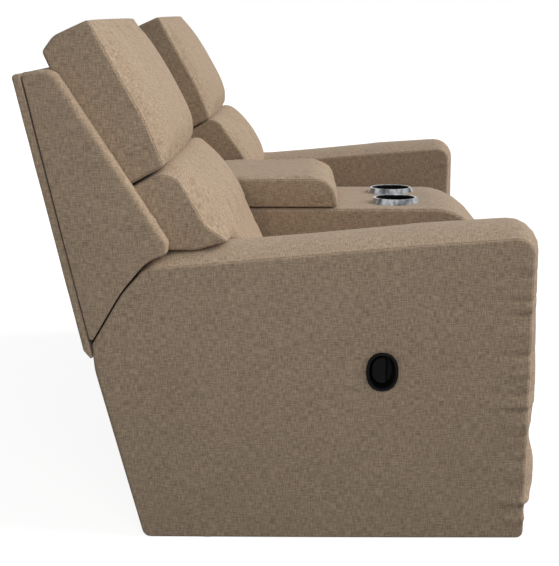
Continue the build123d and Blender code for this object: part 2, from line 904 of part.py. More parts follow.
def console_frame():
    """Wooden box inside the console."""
    wall = console_padding + frame_clearance
    side = console_half - console_side_padding - frame_clearance
    frame = along_x(inside(console_outline(-side), wall), side)
    hollow_side = side - console_panel
    frame -= along_x(inside(console_outline(-hollow_side), wall + console_panel), hollow_side)
    return console_top_cut(frame)


def console_bin():
    """Open-topped storage bin under the lid."""
    floor = console_top - bin_depth
    hollow = bin_space(-bin_wall, floor + bin_wall, console_top + overshoot)
    return bin_space(0.0, floor, console_top) - hollow


def cup_wells():
    """Dark plastic wells of the cup holders."""
    floor = console_top - cup_depth
    wells = []
    for x, y in cup_places():
        well = drum(x, y, floor - cup_wall, console_top + rim_height - cup_wall, well_radius)
        wells.append(well - drum(x, y, floor, console_top + rim_height + overshoot, cup_bore_radius))
    return Compound(children=wells)


def cup_rims():
    """Raised conical rims round the wells."""
    inner = well_radius + soft_gap
    rims = []
    for x, y in cup_places():
        section = Polyline((inner, 0), (rim_base_radius, 0), (rim_top_radius, rim_height),
                           (inner, rim_height), close=True)
        rims.append(Pos(x, y, console_top) * revolve(Plane.XZ * make_face(section), Axis.Z))
    return Compound(children=rims)


def console_back_outline(x, crown):
    """Side view of the pad that stands behind the lid."""
    foot = console_top + soft_gap
    points = [
        (rear - console_back_front_reach, foot),
        (console_rear_top, foot),
        (back_line(console_back_height), console_back_height),
        (back_line(console_back_height, console_back_top_thickness), console_back_height),
    ]
    return outline(x, points, [0.0, 0.0, crown, crown])


def console_back_pad():
    """Padded panel between the two backs."""
    side = console_half - console_back_side_gap
    return loft([
        console_back_outline(-side, console_back_edge_bow),
        console_back_outline(0.0, console_back_crown),
        console_back_outline(side, console_back_edge_bow),
    ])


def lid_outline(x, crown):
    """Side view of the lid with its round nose."""
    points = [
        (lid_front, lid_bottom),
        (lid_rear, lid_bottom),
        (lid_rear, lid_top - crown),
        (lid_front + lid_nose_length, lid_top - crown),
    ]
    return outline(x, points, [0.0, 0.0, crown, lid_nose_bow])


def lid_board_space(extra):
    """Space of the lid's wooden board."""
    half = console_half - lid_board_margin + extra
    return block((-half, half), (lid_front + lid_board_margin - extra, lid_rear),
                 (lid_bottom, lid_bottom + lid_board_thickness + extra))


def lid_pad():
    """Padded armrest lid with a pocket for its board."""
    side = console_half - lid_side_margin
    pad = loft([
        lid_outline(-side, lid_crown + lid_edge_drop),
        lid_outline(0.0, lid_crown),
        lid_outline(side, lid_crown + lid_edge_drop),
    ])
    return pad - lid_board_space(soft_gap)


def lid_board():
    """Wooden board in the lid's underside."""
    return lid_board_space(0.0)


def hinge_rod():
    """Rod with a foot at each end, fixed on the console's top."""
    half = hinge_leaf_width / 2 + hinge_end_gap
    rod = rod_x(-half, half, hinge_y, hinge_z, hinge_rod_radius)
    for x_start in (-half - hinge_block_width, half):
        x_end = x_start + hinge_block_width
        rod += rod_x(x_start, x_end, hinge_y, hinge_z, hinge_block_radius)
        rod += block((x_start, x_end), (hinge_y - hinge_block_radius, hinge_y + hinge_block_radius),
                     (console_top, hinge_z))
    return rod


def hinge_leaf():
    """Leaf on the lid's rear edge, with two barrels on the rod."""
    half = hinge_leaf_width / 2
    leaf = block((-half, half), (lid_rear, lid_rear + hinge_leaf_thickness),
                 (lid_bottom, lid_bottom + hinge_leaf_height))
    for x_start in (-half, half - hinge_barrel_length):
        leaf += rod_x(x_start, x_start + hinge_barrel_length, hinge_y, hinge_z, hinge_barrel_radius)
    bore = hinge_rod_radius + running_clearance
    return leaf - rod_x(-half - overshoot, half + overshoot, hinge_y, hinge_z, bore)


# Base

def base_rails():
    """Cross rails between the console and the arm, front and rear."""
    z_range = (rail_foot, rail_foot + rail_height)
    front_y = hip_y + front_rail_behind_pivot
    rear_y = pivot_y - rear_rail_before_pivot
    return [
        block((console_half, arm_inner), (front_y, front_y + rail_thickness), z_range),
        block((console_half, arm_inner), (rear_y - rail_thickness, rear_y), z_range),
    ]


def rear_apron():
    """Padded panel that closes the base behind the mechanism."""
    slope = (seam_low[0] - rear + arm_foot_reach) / (arm_kink_height - base)
    foot = rear - arm_foot_reach
    top = foot + (apron_top - base) * slope
    points = [
        (foot - apron_thickness, base),
        (foot, base),
        (top, apron_top),
        (top - apron_thickness, apron_top),
    ]
    return slab(points, console_half, arm_inner)


def floor_glides():
    """Glides under the arms and the console."""
    margin = arm_width / 2
    y_places = (arm_front + margin, rear - arm_foot_reach - margin)
    x_places = (half_width - margin, arm_inner + margin / 2, console_half - margin / 2)
    glides = [drum(x, y, 0.0, base, glide_radius) for x in x_places for y in y_places]
    return glides


def both_sides(parts):
    """One node made of the given solids and their mirror images."""
    return Compound(children=parts + [other_side(part) for part in parts])


side_pieces = {
    "arm_cover": arm_cover,
    "arm_frame": arm_frame,
    "handle_cup": handle_cup,
    "release_lever": release_lever,
    "seat_cushion": seat_cushion,
    "seat_frame": seat_frame,
    "mechanism_plates": mechanism_plates,
    "back_board": back_board,
    "hinge_brackets": hinge_brackets,
    "outer_wing": outer_wing,
    "inner_wing": inner_wing,
    "outside_back": outside_back,
    "headrest_cushion": headrest_cushion,
    "lumbar_cushion": lumbar_cushion,
    "torque_tube": torque_tube,
    "drive_links": drive_links,
    "knee_pins": knee_pins,
    "fold_links": fold_links,
    "toe_pins": toe_pins,
    "footrest_brackets": footrest_brackets,
    "footrest_board": footrest_board,
    "footrest_pad": footrest_pad,
}
middle_pieces = {
    "console_cover": console_cover,
    "console_frame": console_frame,
    "console_bin": console_bin,
    "cup_wells": cup_wells,
    "cup_rims": cup_rims,
    "console_back_pad": console_back_pad,
    "lid_pad": lid_pad,
    "lid_board": lid_board,
    "hinge_rod": hinge_rod,
    "hinge_leaf": hinge_leaf,
}
paired_pieces = {
    "seat_springs": seat_springs,
    "pivot_pins": pivot_pins,
    "base_rails": base_rails,
    "floor_glides": floor_glides,
}

os.makedirs("parts", exist_ok=True)
nodes = {}
for name, make in side_pieces.items():
    left = make()
    nodes["left_" + name] = left
    nodes["right_" + name] = other_side(left)
for name, make in middle_pieces.items():
    nodes[name] = make()
for name, make in paired_pieces.items():
    nodes[name] = both_sides(make())
nodes["rear_aprons"] = both_sides([rear_apron()])
nodes["release_cables"] = both_sides([release_cable()])
for name, node in nodes.items():
    export_step(node, f"parts/{name}.step")
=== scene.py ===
"""Upholstery, console, handles, finishes and studio of a reclining loveseat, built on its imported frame."""

import json
from collections import namedtuple

import bpy
import numpy as np
from bpy.props import FloatProperty, FloatVectorProperty, IntProperty, PointerProperty
from mathutils import Matrix, Vector


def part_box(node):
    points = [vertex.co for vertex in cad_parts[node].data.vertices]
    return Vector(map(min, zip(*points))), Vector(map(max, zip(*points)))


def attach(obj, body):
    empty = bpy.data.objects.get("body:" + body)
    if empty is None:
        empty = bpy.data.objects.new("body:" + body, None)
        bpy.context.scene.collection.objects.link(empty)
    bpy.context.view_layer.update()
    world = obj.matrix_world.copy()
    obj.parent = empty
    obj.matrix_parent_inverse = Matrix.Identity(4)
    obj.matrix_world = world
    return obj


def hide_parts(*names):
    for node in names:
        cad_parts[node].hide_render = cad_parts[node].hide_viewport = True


bl_info = {
    "name": "Reclining loveseat",
    "version": (1, 0, 0),
    "blender": (4, 5, 0),
    "location": "View3D > Sidebar > Loveseat",
    "description": "Dresses the frame of a reclining loveseat in cloth, chrome, plastic, steel and wood",
    "category": "Object",
}

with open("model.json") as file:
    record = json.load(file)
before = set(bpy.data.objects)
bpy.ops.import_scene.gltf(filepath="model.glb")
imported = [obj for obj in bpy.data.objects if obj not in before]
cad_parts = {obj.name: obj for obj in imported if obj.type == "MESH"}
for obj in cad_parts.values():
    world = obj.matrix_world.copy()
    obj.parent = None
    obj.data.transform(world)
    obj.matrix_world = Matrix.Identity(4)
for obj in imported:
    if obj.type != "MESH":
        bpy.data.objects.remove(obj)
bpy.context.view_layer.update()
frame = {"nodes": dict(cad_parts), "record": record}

# Pieces are drawn on the sitter's right, where X is negative, and mirrored to the left
SIDES = {"right": 1.0, "left": -1.0}

# Rolled edge of a sewn panel: angles through its quarter turn, and how far the seam draws each in (and its
# painted shade)
ROLL_TURN = np.radians((0.0, 15.0, 30.0, 38.0, 45.0, 52.0, 60.0, 75.0, 90.0))
ROLL_SEAM = np.array((0.0, 0.0, 0.12, 0.6, 1.0, 0.6, 0.12, 0.0, 0.0))

# Points on a rounded corner, rings down the wall of a pocket, and how far rings crowd at a panel's edge
ARC_STEPS = 6
POCKET_RINGS = 4
RING_CROWDING = 1.6

# A pocket flattens the panel round it to this many times its own height
POCKET_REACH = 2.5

# Fullness of a stuffed strip, and of one that is flat up to its edges
STUFFED = 2.2
FLAT_ACROSS = 6.0

# Depth of a seam that gets the full painted shade
SEAM_FULL_SHADE_DEPTH = 0.0035

# Arm and console covers hang this far below their CAD shapes, and stay this far above the floor
SOLE_DROP = 0.0055
FLOOR_GAP = 0.0004

# Height of the kink in the rear edge of the arms and the console
KINK_HEIGHT = 0.352

# Seeds of the small folds, on the right and on the left where the two sides differ
ARM_SEEDS = {"right": 11, "left": 23}
WING_SEEDS = {"right": 31, "left": 43}
OUTSIDE_BACK_SEEDS = {"right": 53, "left": 61}
HEADREST_SEED = 71
LUMBAR_SEED = 83
CONSOLE_SEED = 97
LID_SEED = 101

# Frames that a cushion swells for
PUFF_FRAMES = 20

# Points round a rim or a handle, and round a cup's well
ROUND_STEPS = 96
WELL_STEPS = 72

# The photograph's size in pixels
PHOTO_SIZE = (559, 566)

Outline = namedtuple("Outline", "points normals station along plan")
Panel = namedtuple("Panel", "centre crown hub pocket folds", defaults=(None, 0.0, None, 0.0, None))
PLAIN_PANEL = Panel()


# Settings

class LoveseatCloth(bpy.types.PropertyGroup):
    """Sizes and colour of the upholstery."""

    colour: FloatVectorProperty(
        name="Colour", description="Mean colour of the woven cloth", subtype="COLOR", size=3,
        min=0.0, max=1.0, default=(0.43, 0.337, 0.25))
    seam_depth: FloatProperty(
        name="Seam depth", description="How far a sewn seam is drawn in", unit="LENGTH", min=0.0,
        default=0.0034)
    edge_roll: FloatProperty(
        name="Edge roll", description="Radius of a sewn panel's edge", unit="LENGTH", min=0.001,
        default=0.007)
    soft_roll: FloatProperty(
        name="Soft edge roll", description="Radius of a padded edge", unit="LENGTH", min=0.001,
        default=0.014)
    spacing: FloatProperty(
        name="Spacing", description="Distance between the points of a cushion", unit="LENGTH", min=0.002,
        default=0.009)
    fine_spacing: FloatProperty(
        name="Fine spacing", description="Distance between the points of a tight cover", unit="LENGTH",
        min=0.002, default=0.006)
    pressure: FloatProperty(
        name="Pressure", description="Pressure of the filling while a cushion swells", min=0.0, default=4.0)
    swell_limit: FloatProperty(
        name="Swell limit", description="Furthest that a point of a cushion may move as it swells",
        unit="LENGTH", min=0.0, default=0.024)
    spare_cloth: FloatProperty(
        name="Spare cloth", description="Share by which a cushion's cover is larger than its seams",
        min=0.0, max=0.2, default=0.02)
    thread: FloatProperty(
        name="Thread", description="Width of one slub of the weave", unit="LENGTH", min=0.0005,
        default=0.0022)


class LoveseatHardware(bpy.types.PropertyGroup):
    """Colours of the parts that aren't cloth."""

    plastic: FloatVectorProperty(
        name="Plastic", description="Colour of the handles, wells and glides", subtype="COLOR", size=3,
        min=0.0, max=1.0, default=(0.006, 0.006, 0.007))
    chrome: FloatVectorProperty(
        name="Chrome", description="Colour of the cup-holder rims", subtype="COLOR", size=3, min=0.0,
        max=1.0, default=(0.18, 0.185, 0.195))
    dull_zinc: FloatVectorProperty(
        name="Dull zinc", description="Darker colour of the plated steel", subtype="COLOR", size=3, min=0.0,
        max=1.0, default=(0.36, 0.37, 0.38))
    bright_zinc: FloatVectorProperty(
        name="Bright zinc", description="Lighter colour of the plated steel", subtype="COLOR", size=3,
        min=0.0, max=1.0, default=(0.62, 0.62, 0.6))
    wood: FloatVectorProperty(
        name="Wood", description="Colour of the plywood frames", subtype="COLOR", size=3, min=0.0, max=1.0,
        default=(0.48, 0.32, 0.17))
    paint: FloatVectorProperty(
        name="Paint", description="Colour of the painted mechanism", subtype="COLOR", size=3, min=0.0,
        max=1.0, default=(0.02, 0.02, 0.022))


class LoveseatStudio(bpy.types.PropertyGroup):
    """Camera and light."""

    lens: FloatProperty(
        name="Lens", description="Focal length on a sensor 36 mm along the picture's long side", min=10.0,
        default=85.44)
    camera_place: FloatVectorProperty(
        name="Camera", description="Where the camera stands", subtype="TRANSLATION", unit="LENGTH", size=3,
        default=(-3.5595, -0.056, 1.0528))
    camera_pitch: FloatProperty(
        name="Pitch", description="How far the camera looks down", unit="ROTATION", default=0.19971)
    camera_yaw: FloatProperty(
        name="Yaw", description="How far the camera turns towards the back", unit="ROTATION",
        default=0.009995)
    optical_centre: FloatProperty(
        name="Optical centre", description="Pixel column that the lens points at", default=298.8)
    daylight: FloatProperty(
        name="Fill light", description="Strength of the even light from all round", min=0.0, default=0.29)
    daylight_colour: FloatVectorProperty(
        name="Fill colour", description="Colour of the even light from all round", subtype="COLOR", size=3,
        min=0.0, max=1.0, default=(0.92, 0.96, 1.0))
    lamp_colour: FloatVectorProperty(
        name="Lamp colour", description="Colour of the key and side lights", subtype="COLOR", size=3,
        min=0.0, max=1.0, default=(1.0, 0.915, 0.82))
    key: FloatProperty(
        name="Key light", description="Strength of the soft light from the front", min=0.0, default=2.48)
    side: FloatProperty(
        name="Side light", description="Power of the broad light beside the camera", min=0.0, default=7.9)
    key_softness: FloatProperty(
        name="Key softness", description="Angle that the key light spans", unit="ROTATION", min=0.0,
        default=0.7)
    key_toward: FloatVectorProperty(
        name="Key direction", description="Where the key light shines to", subtype="DIRECTION", size=3,
        default=(-0.1, 0.81, -0.58))
    side_place: FloatVectorProperty(
        name="Side lamp", description="Where the side light stands", subtype="TRANSLATION", unit="LENGTH",
        size=3, default=(-2.5, 0.0, 1.15))
    side_toward: FloatVectorProperty(
        name="Side direction", description="Where the side light shines to", subtype="DIRECTION", size=3,
        default=(1.0, 0.0, -0.33))
    side_size: FloatVectorProperty(
        name="Side lamp size", description="Width and height of the side light", unit="LENGTH", size=2,
        default=(1.5, 0.9))
    floor_reach: FloatProperty(
        name="Floor reach", description="How far the floor goes each way", unit="LENGTH", min=5.0,
        default=30.0)
    floor_rows: IntProperty(name="Floor rows", description="Rows of faces in the floor", min=1, default=12)


class LoveseatSettings(bpy.types.PropertyGroup):
    """All settings of the loveseat."""

    cloth: PointerProperty(type=LoveseatCloth)
    hardware: PointerProperty(type=LoveseatHardware)
    studio: PointerProperty(type=LoveseatStudio)


# Outlines and surfaces

def smooth(share):
    """Rises from 0 to 1 with level ends: 3 t^2 - 2 t^3."""
    held = np.clip(share, 0.0, 1.0)
    return held * held * (3.0 - 2.0 * held)


def outline(corners, spacing, plan=None):
    """Closed outline through (y, z, radius) corners given anticlockwise.

    Each corner is an arc that starts radius * tan(turn / 2) before it and turns evenly from one side's
    heading to the next. Each side is divided into equal steps, as many as the plan says. The station of a
    point is the number of the last corner plus its share of the way to the next."""
    places = np.array(corners, float)
    at = places[:, :2]
    radius = places[:, 2]
    run = np.roll(at, -1, 0) - at
    heading = np.arctan2(run[:, 1], run[:, 0])
    entering = np.roll(heading, 1)
    turn = (heading - entering + np.pi) % (2.0 * np.pi) - np.pi
    reach = (radius * np.tan(np.abs(turn) / 2.0))[:, None]
    start = at - reach * np.stack((np.cos(entering), np.sin(entering)), 1)
    end = at + reach * np.stack((np.cos(heading), np.sin(heading)), 1)
    gap = np.roll(start, -1, 0) - end
    if plan is None:
        plan = np.maximum(2, np.rint(np.linalg.norm(gap, axis=1) / spacing)).astype(int)
    share = np.linspace(0.0, 1.0, ARC_STEPS)
    points, bends, stations = [], [], []
    for index in range(len(places)):
        bend = entering[index] + turn[index] * share
        inward = radius[index] * np.sign(turn[index])
        middle = start[index] + inward * np.array((-np.sin(bend[0]), np.cos(bend[0])))
        points.append(middle - inward * np.stack((-np.sin(bend), np.cos(bend)), 1))
        bends.append(bend)
        stations.append(index + 0.5 * (share - 0.5))
        step = np.linspace(0.0, 1.0, plan[index] + 1)[1:-1]
        points.append(end[index] + gap[index] * step[:, None])
        bends.append(np.full(len(step), heading[index]))
        stations.append(index + 0.25 + 0.5 * step)
    points = np.concatenate(points)
    bends = np.concatenate(bends)
    normals = np.stack((np.sin(bends), -np.cos(bends)), 1)
    steps = np.linalg.norm(np.roll(points, -1, 0) - points, axis=1)
    along = np.concatenate(((0.0,), np.cumsum(steps)))
    return Outline(points, normals, np.concatenate(stations), along, plan)


def by_station(shape, *pairs):
    """Value round an outline, from (station, value) pairs joined by straight lines."""
    stations, values = zip(*pairs)
    return np.interp(shape.station, stations, values, period=float(len(shape.plan)))


def rounded_off(values, passes):
    """Evens out values round a closed outline: each becomes the mean of itself and its neighbours."""
    for _ in range(passes):
        values = (np.roll(values, 1) + values + np.roll(values, -1)) / 3.0
    return values


def puckers(seed, shape, where, count, height, width, reach):
    """Small folds that run square to a seam.

    Each fold is height * exp(-(s - s0)^2 / width^2) * exp(-d^2 / reach^2), with s along the seam and d away
    from it, and they are added up. The chance of a fold follows the weight round the outline."""
    rng = np.random.default_rng(seed)
    total = shape.along[-1]
    chance = np.clip(where, 0.0, None)
    places = rng.choice(shape.along[:-1], count, p=chance / chance.sum())
    heights = height * rng.uniform(-1.0, 1.0, count)
    widths = width * rng.uniform(0.6, 1.5, count)
    reaches = reach * rng.uniform(0.5, 1.4, count)

    def height_at(along, away):
        """Height of the folds at a length along the seam and a distance from it."""
        beside = np.abs(along[..., None] - places)
        beside = np.minimum(beside, total - beside)
        return (heights * np.exp(-(beside / widths) ** 2 - (away[..., None] / reaches) ** 2)).sum(-1)

    return height_at


def nearest_edge(shape, edge, rings):
    """Length along the outline of the edge point nearest to each point, and the distance to it."""
    gaps = np.linalg.norm(rings[:, :, None, :] - edge, axis=-1)
    return shape.along[gaps.argmin(-1)], gaps.min(-1)


def end_panel(shape, roll, place, sign, panel, seam, rings):
    """Rings of an end panel from its middle, or its hub's pocket, to the far end of its rolled edge.

    A flat ring lies at middle + q (edge - middle), with q = 1 - (1 - t)^n so that rings crowd at the edge.
    The panel stands out by crown (1 - (y / half)^2 - (z / half)^2), less near a hub, plus its folds. The
    rolled edge is a quarter circle with a seam pressed into it."""
    edge = shape.points - shape.normals * roll[:, None]
    centre = (edge.max(0) + edge.min(0)) / 2.0
    half = np.ptp(edge, axis=0) / 2.0
    middle = np.array(panel.centre if panel.centre is not None else centre)

    def bulge(points):
        """How far the panel stands out at points."""
        height = panel.crown * (1.0 - (((points - centre) / half) ** 2).sum(-1))
        if panel.hub is not None:
            near = ((points - middle) ** 2).sum(-1) / (POCKET_REACH * panel.hub[1]) ** 2
            height = height * (1.0 - np.exp(-near))
        return height

    inner = np.tile(middle, (len(edge), 1))
    first = 1
    if panel.hub is not None:
        spoke = edge - middle
        inner = middle + hub_oval(np.arctan2(spoke[:, 1], spoke[:, 0]), *panel.hub)
        first = 0
    share = 1.0 - (1.0 - np.arange(first, rings) / rings) ** RING_CROWDING
    flat = inner + (edge - inner) * share[:, None, None]
    lift = bulge(flat)
    edge_lift = bulge(edge)
    if panel.folds:
        lift = lift + panel.folds(*nearest_edge(shape, edge, flat))
        edge_lift = edge_lift + panel.folds(shape.along[:-1], np.zeros(len(edge)))
    depth = place + sign * lift
    if panel.hub is not None:
        sink = np.linspace(1.0, 0.0, POCKET_RINGS + 1)[:-1, None] * panel.pocket
        flat = np.concatenate((np.tile(inner, (len(sink), 1, 1)), flat))
        depth = np.concatenate((depth[:1] - sign * sink, depth))
    out = np.sin(ROLL_TURN)[:, None]
    back = np.cos(ROLL_TURN)[:, None]
    press = seam * ROLL_SEAM[:, None]
    rolled = shape.points - shape.normals * (roll * (1.0 - out) + press * out)[..., None]
    rolled_depth = place + sign * (edge_lift - roll * (1.0 - back) - press * back)
    points = np.concatenate((flat, rolled))
    depths = np.concatenate((depth, rolled_depth))
    cap = (place - sign * panel.pocket if panel.hub else place + sign * bulge(middle), *middle)
    return np.concatenate((depths[..., None], points), -1), len(flat), cap


def hub_oval(angle, half_width, half_height, fullness=2.25):
    """Point on an oval at an angle: r = (|cos a / w|^n + |sin a / h|^n)^(-1 / n)."""
    size = np.abs(np.cos(angle) / half_width) ** fullness + np.abs(np.sin(angle) / half_height) ** fullness
    return np.stack((np.cos(angle), np.sin(angle)), 1) * (size ** (-1.0 / fullness))[:, None]


def dome(share, fullness):
    """Height of a stuffed strip across its width: 1 - |2 t - 1|^n."""
    return 1.0 - np.abs(2.0 * share - 1.0) ** fullness


def upholstered(shape, span, roll, bow, spacing, seam=0.0, low=PLAIN_PANEL, high=None, lofts=(), stops=(),
                rings=3, fullness=STUFFED):
    """Closed cover: an end panel at each end of the span in X, and a strip between them along the outline.

    The roll of the edges and the bow of the strip are one value, or one for each point of the outline. The
    strip stands out from the outline by bow(s) * dome(t). Each loft, (outline, ramp of X), carries the
    outline further towards another; stops are places in X that must have a ring. The high panel is like the
    low one if it isn't given. Returns the rings of points, the middles that close them, and what the weave,
    the painted shade of the seams and the filling need to know of each ring."""
    far = lofts[-1][0] if lofts else shape
    high = high or low
    roll = np.broadcast_to(roll, len(shape.points))
    bow = np.broadcast_to(bow, len(shape.points))
    first, first_flat, first_cap = end_panel(shape, roll, span[0], -1.0, low, seam, rings)
    last, last_flat, last_cap = end_panel(far, roll, span[1], 1.0, high, seam, rings)
    width = span[1] - span[0]
    share = np.linspace(0.0, 1.0, max(4, int(round(width / spacing))) + 1)[1:-1]
    share = np.union1d(share, (np.array(stops) - span[0]) / width)
    across = first[-1, :, 0] + (last[-1, :, 0] - first[-1, :, 0]) * share[:, None]
    path = np.tile(shape.points, (len(share), 1, 1))
    facing = np.tile(shape.normals, (len(share), 1, 1))
    for other, ramp_of in lofts:
        part = ramp_of(across.mean(1))[:, None, None]
        path = path + (other.points - path) * part
        facing = facing + (other.normals - facing) * part
    facing = facing / np.linalg.norm(facing, axis=-1, keepdims=True)
    lift = bow * dome(share, fullness)[:, None]
    for panel, away in ((low, share * width), (high, (1.0 - share) * width)):
        if panel.folds:
            lift = lift + panel.folds(np.tile(shape.along[:-1], (len(share), 1)),
                                      np.tile(away[:, None], len(bow)))
    strip = np.concatenate((across[..., None], path + facing * lift[..., None]), -1)
    grid = np.concatenate((first, strip, last[::-1]))
    # Painted shade in the seams: the rolled edges' seam weights, fuller for deeper seams, later darken the
    # cloth
    seams = np.zeros(grid.shape[:2])
    seams[first_flat:len(first)] = ROLL_SEAM[:, None]
    seams[len(grid) - len(last):len(grid) - last_flat] = ROLL_SEAM[::-1, None]
    loose = np.zeros(grid.shape[:2])
    loose[len(first):len(first) + len(strip)] = 1.0
    wound = np.zeros(len(grid), bool)
    half_roll = len(ROLL_TURN) // 2 + 1
    wound[len(first) - half_roll:len(grid) - len(last) + half_roll] = True
    return {"grid": grid, "caps": (first_cap, last_cap), "seam": seams * min(1.0, seam / SEAM_FULL_SHADE_DEPTH),
            "loose": loose, "strip": wound, "along": far.along}


def on_floor(cover):
    """Keeps every point of a cover just above the floor."""
    cover["grid"][..., 2] = np.maximum(cover["grid"][..., 2], FLOOR_GAP)
    return cover


def mirrored(cover, sign):
    """The same cover on the other side of the sofa when the sign is negative."""
    flip = np.array((sign, 1.0, 1.0))
    changed = dict(cover)
    changed["grid"] = cover["grid"] * flip
    changed["caps"] = tuple(np.array(cap) * flip for cap in cover["caps"])
    return changed


# Meshes

def ring_faces(rings, around, closed):
    """Corner numbers of the quads between neighbouring rings, each ring a closed loop."""
    ring = np.arange(rings if closed else rings - 1)[:, None]
    step = np.arange(around)[None, :]
    after = (ring + 1) % rings
    beside = (step + 1) % around
    return np.stack((ring * around + step, ring * around + beside, after * around + beside,
                     after * around + step), -1).reshape(-1, 4)


def signed_volume(points, triangles):
    """Sum of the tetrahedra from the origin; positive when faces point outwards."""
    a, b, c = (points[triangles[:, i]] for i in range(3))
    return (np.cross(a, b) * c).sum() / 6.0


def placed(name, data):
    """New object in the scene."""
    made = bpy.data.objects.new(name, data)
    bpy.context.scene.collection.objects.link(made)
    return made


def ring_mesh(name, cover, closed=False):
    """Object from rings of points, closed by a fan at each end, with its faces outwards.

    Rings run from one cap to the other, or in a closed loop with no caps."""
    grid = cover["grid"]
    rings, around = grid.shape[:2]
    points = grid.reshape(-1, 3)
    quads = ring_faces(rings, around, closed)
    fans = np.zeros((0, 3), int)
    if not closed:
        step = np.arange(around)
        beside = (step + 1) % around
        last = (rings - 1) * around
        first_fan = np.stack((np.full(around, rings * around), beside, step), 1)
        last_fan = np.stack((np.full(around, rings * around + 1), last + step, last + beside), 1)
        fans = np.concatenate((first_fan, last_fan))
        points = np.concatenate((points, np.array(cover["caps"])))
    if signed_volume(points, np.concatenate((quads[:, :3], quads[:, [0, 2, 3]], fans))) < 0.0:
        quads = quads[:, ::-1]
        fans = fans[:, ::-1]
    mesh = bpy.data.meshes.new(name)
    mesh.vertices.add(len(points))
    mesh.vertices.foreach_set("co", points.astype(np.float32).ravel())
    corners = np.concatenate((quads.ravel(), fans.ravel()))
    mesh.loops.add(len(corners))
    mesh.loops.foreach_set("vertex_index", corners.astype(np.int32))
    starts = np.concatenate((np.arange(len(quads)) * 4, len(quads) * 4 + np.arange(len(fans)) * 3))
    mesh.polygons.add(len(starts))
    mesh.polygons.foreach_set("loop_start", starts.astype(np.int32))
    mesh.update(calc_edges=True)
    mesh.polygons.foreach_set("use_smooth", np.ones(len(starts), bool))
    weave_uvs(mesh, cover, points, corners, len(quads))
    # The seam attribute carries the painted shade of the seams into the cloth's colour
    if "seam" in cover:
        seam = np.zeros(len(points), np.float32)
        seam[:rings * around] = cover["seam"].ravel()
        mesh.attributes.new("seam", "FLOAT", "POINT").data.foreach_set("value", seam)
    mesh.validate()
    return placed(name, mesh)


def weave_uvs(mesh, cover, points, corners, quads):
    """Lays the weave on the cover at its true scale.

    End panels have (y, z) for UVs, and the strip has (x, length along the outline)."""
    rings, around = cover["grid"].shape[:2]
    uvs = points[corners][:, 1:].copy()
    if "strip" in cover:
        ring = np.minimum(corners // around, rings - 1)
        column = corners % around
        wrap = np.zeros(len(corners), bool)
        quad_columns = column[:quads * 4].reshape(-1, 4)
        seam_quads = (quad_columns.max(1) == around - 1) & (quad_columns.min(1) == 0)
        wrap[:quads * 4] = (seam_quads[:, None] & (quad_columns == 0)).ravel()
        length = cover["along"][np.where(wrap, around, column)]
        quad_rings = ring[:quads * 4].reshape(-1, 4)
        on_strip = cover["strip"][quad_rings.min(1)] & cover["strip"][quad_rings.max(1)]
        use = np.zeros(len(corners), bool)
        use[:quads * 4] = np.repeat(on_strip, 4)
        wound = np.stack((points[corners][:, 0], length), 1)
        uvs[use] = wound[use]
    mesh.uv_layers.new(name="Weave").uv.foreach_set("vector", uvs.astype(np.float32).ravel())


def finished(piece, body, slot, settings, nodes=()):
    """Gives a piece its body, its finish and the nodes that it stands for."""
    piece.data.materials.clear()
    piece.data.materials.append(material_for(slot, settings))
    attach(piece, body)
    if nodes:
        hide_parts(*nodes)


def stuffed(name, cloth, cover, loose, share=1.0):
    """Cushion from a cover: its strip swells where it is loose, by a share of the swell limit."""
    return puffed(ring_mesh(name, cover), held_points(cover, loose), cloth, share)


def softened(piece):
    """One live subdivision, the same in the view and the render."""
    modifier = piece.modifiers.new("Soft surface", "SUBSURF")
    modifier.levels = 1
    modifier.render_levels = 1
    return piece


def applied(piece):
    """Makes the piece's modifiers part of its mesh."""
    graph = bpy.context.evaluated_depsgraph_get()
    mesh = bpy.data.meshes.new_from_object(piece.evaluated_get(graph))
    piece.modifiers.clear()
    old = piece.data
    piece.data = mesh
    bpy.data.meshes.remove(old)


def cut_out(piece, cutters):
    """Takes the cutters' shapes out of a piece and deletes them."""
    for cutter in cutters:
        modifier = piece.modifiers.new("Opening", "BOOLEAN")
        modifier.operation = "DIFFERENCE"
        modifier.solver = "EXACT"
        modifier.object = cutter
    applied(piece)
    for cutter in cutters:
        bpy.data.objects.remove(cutter)


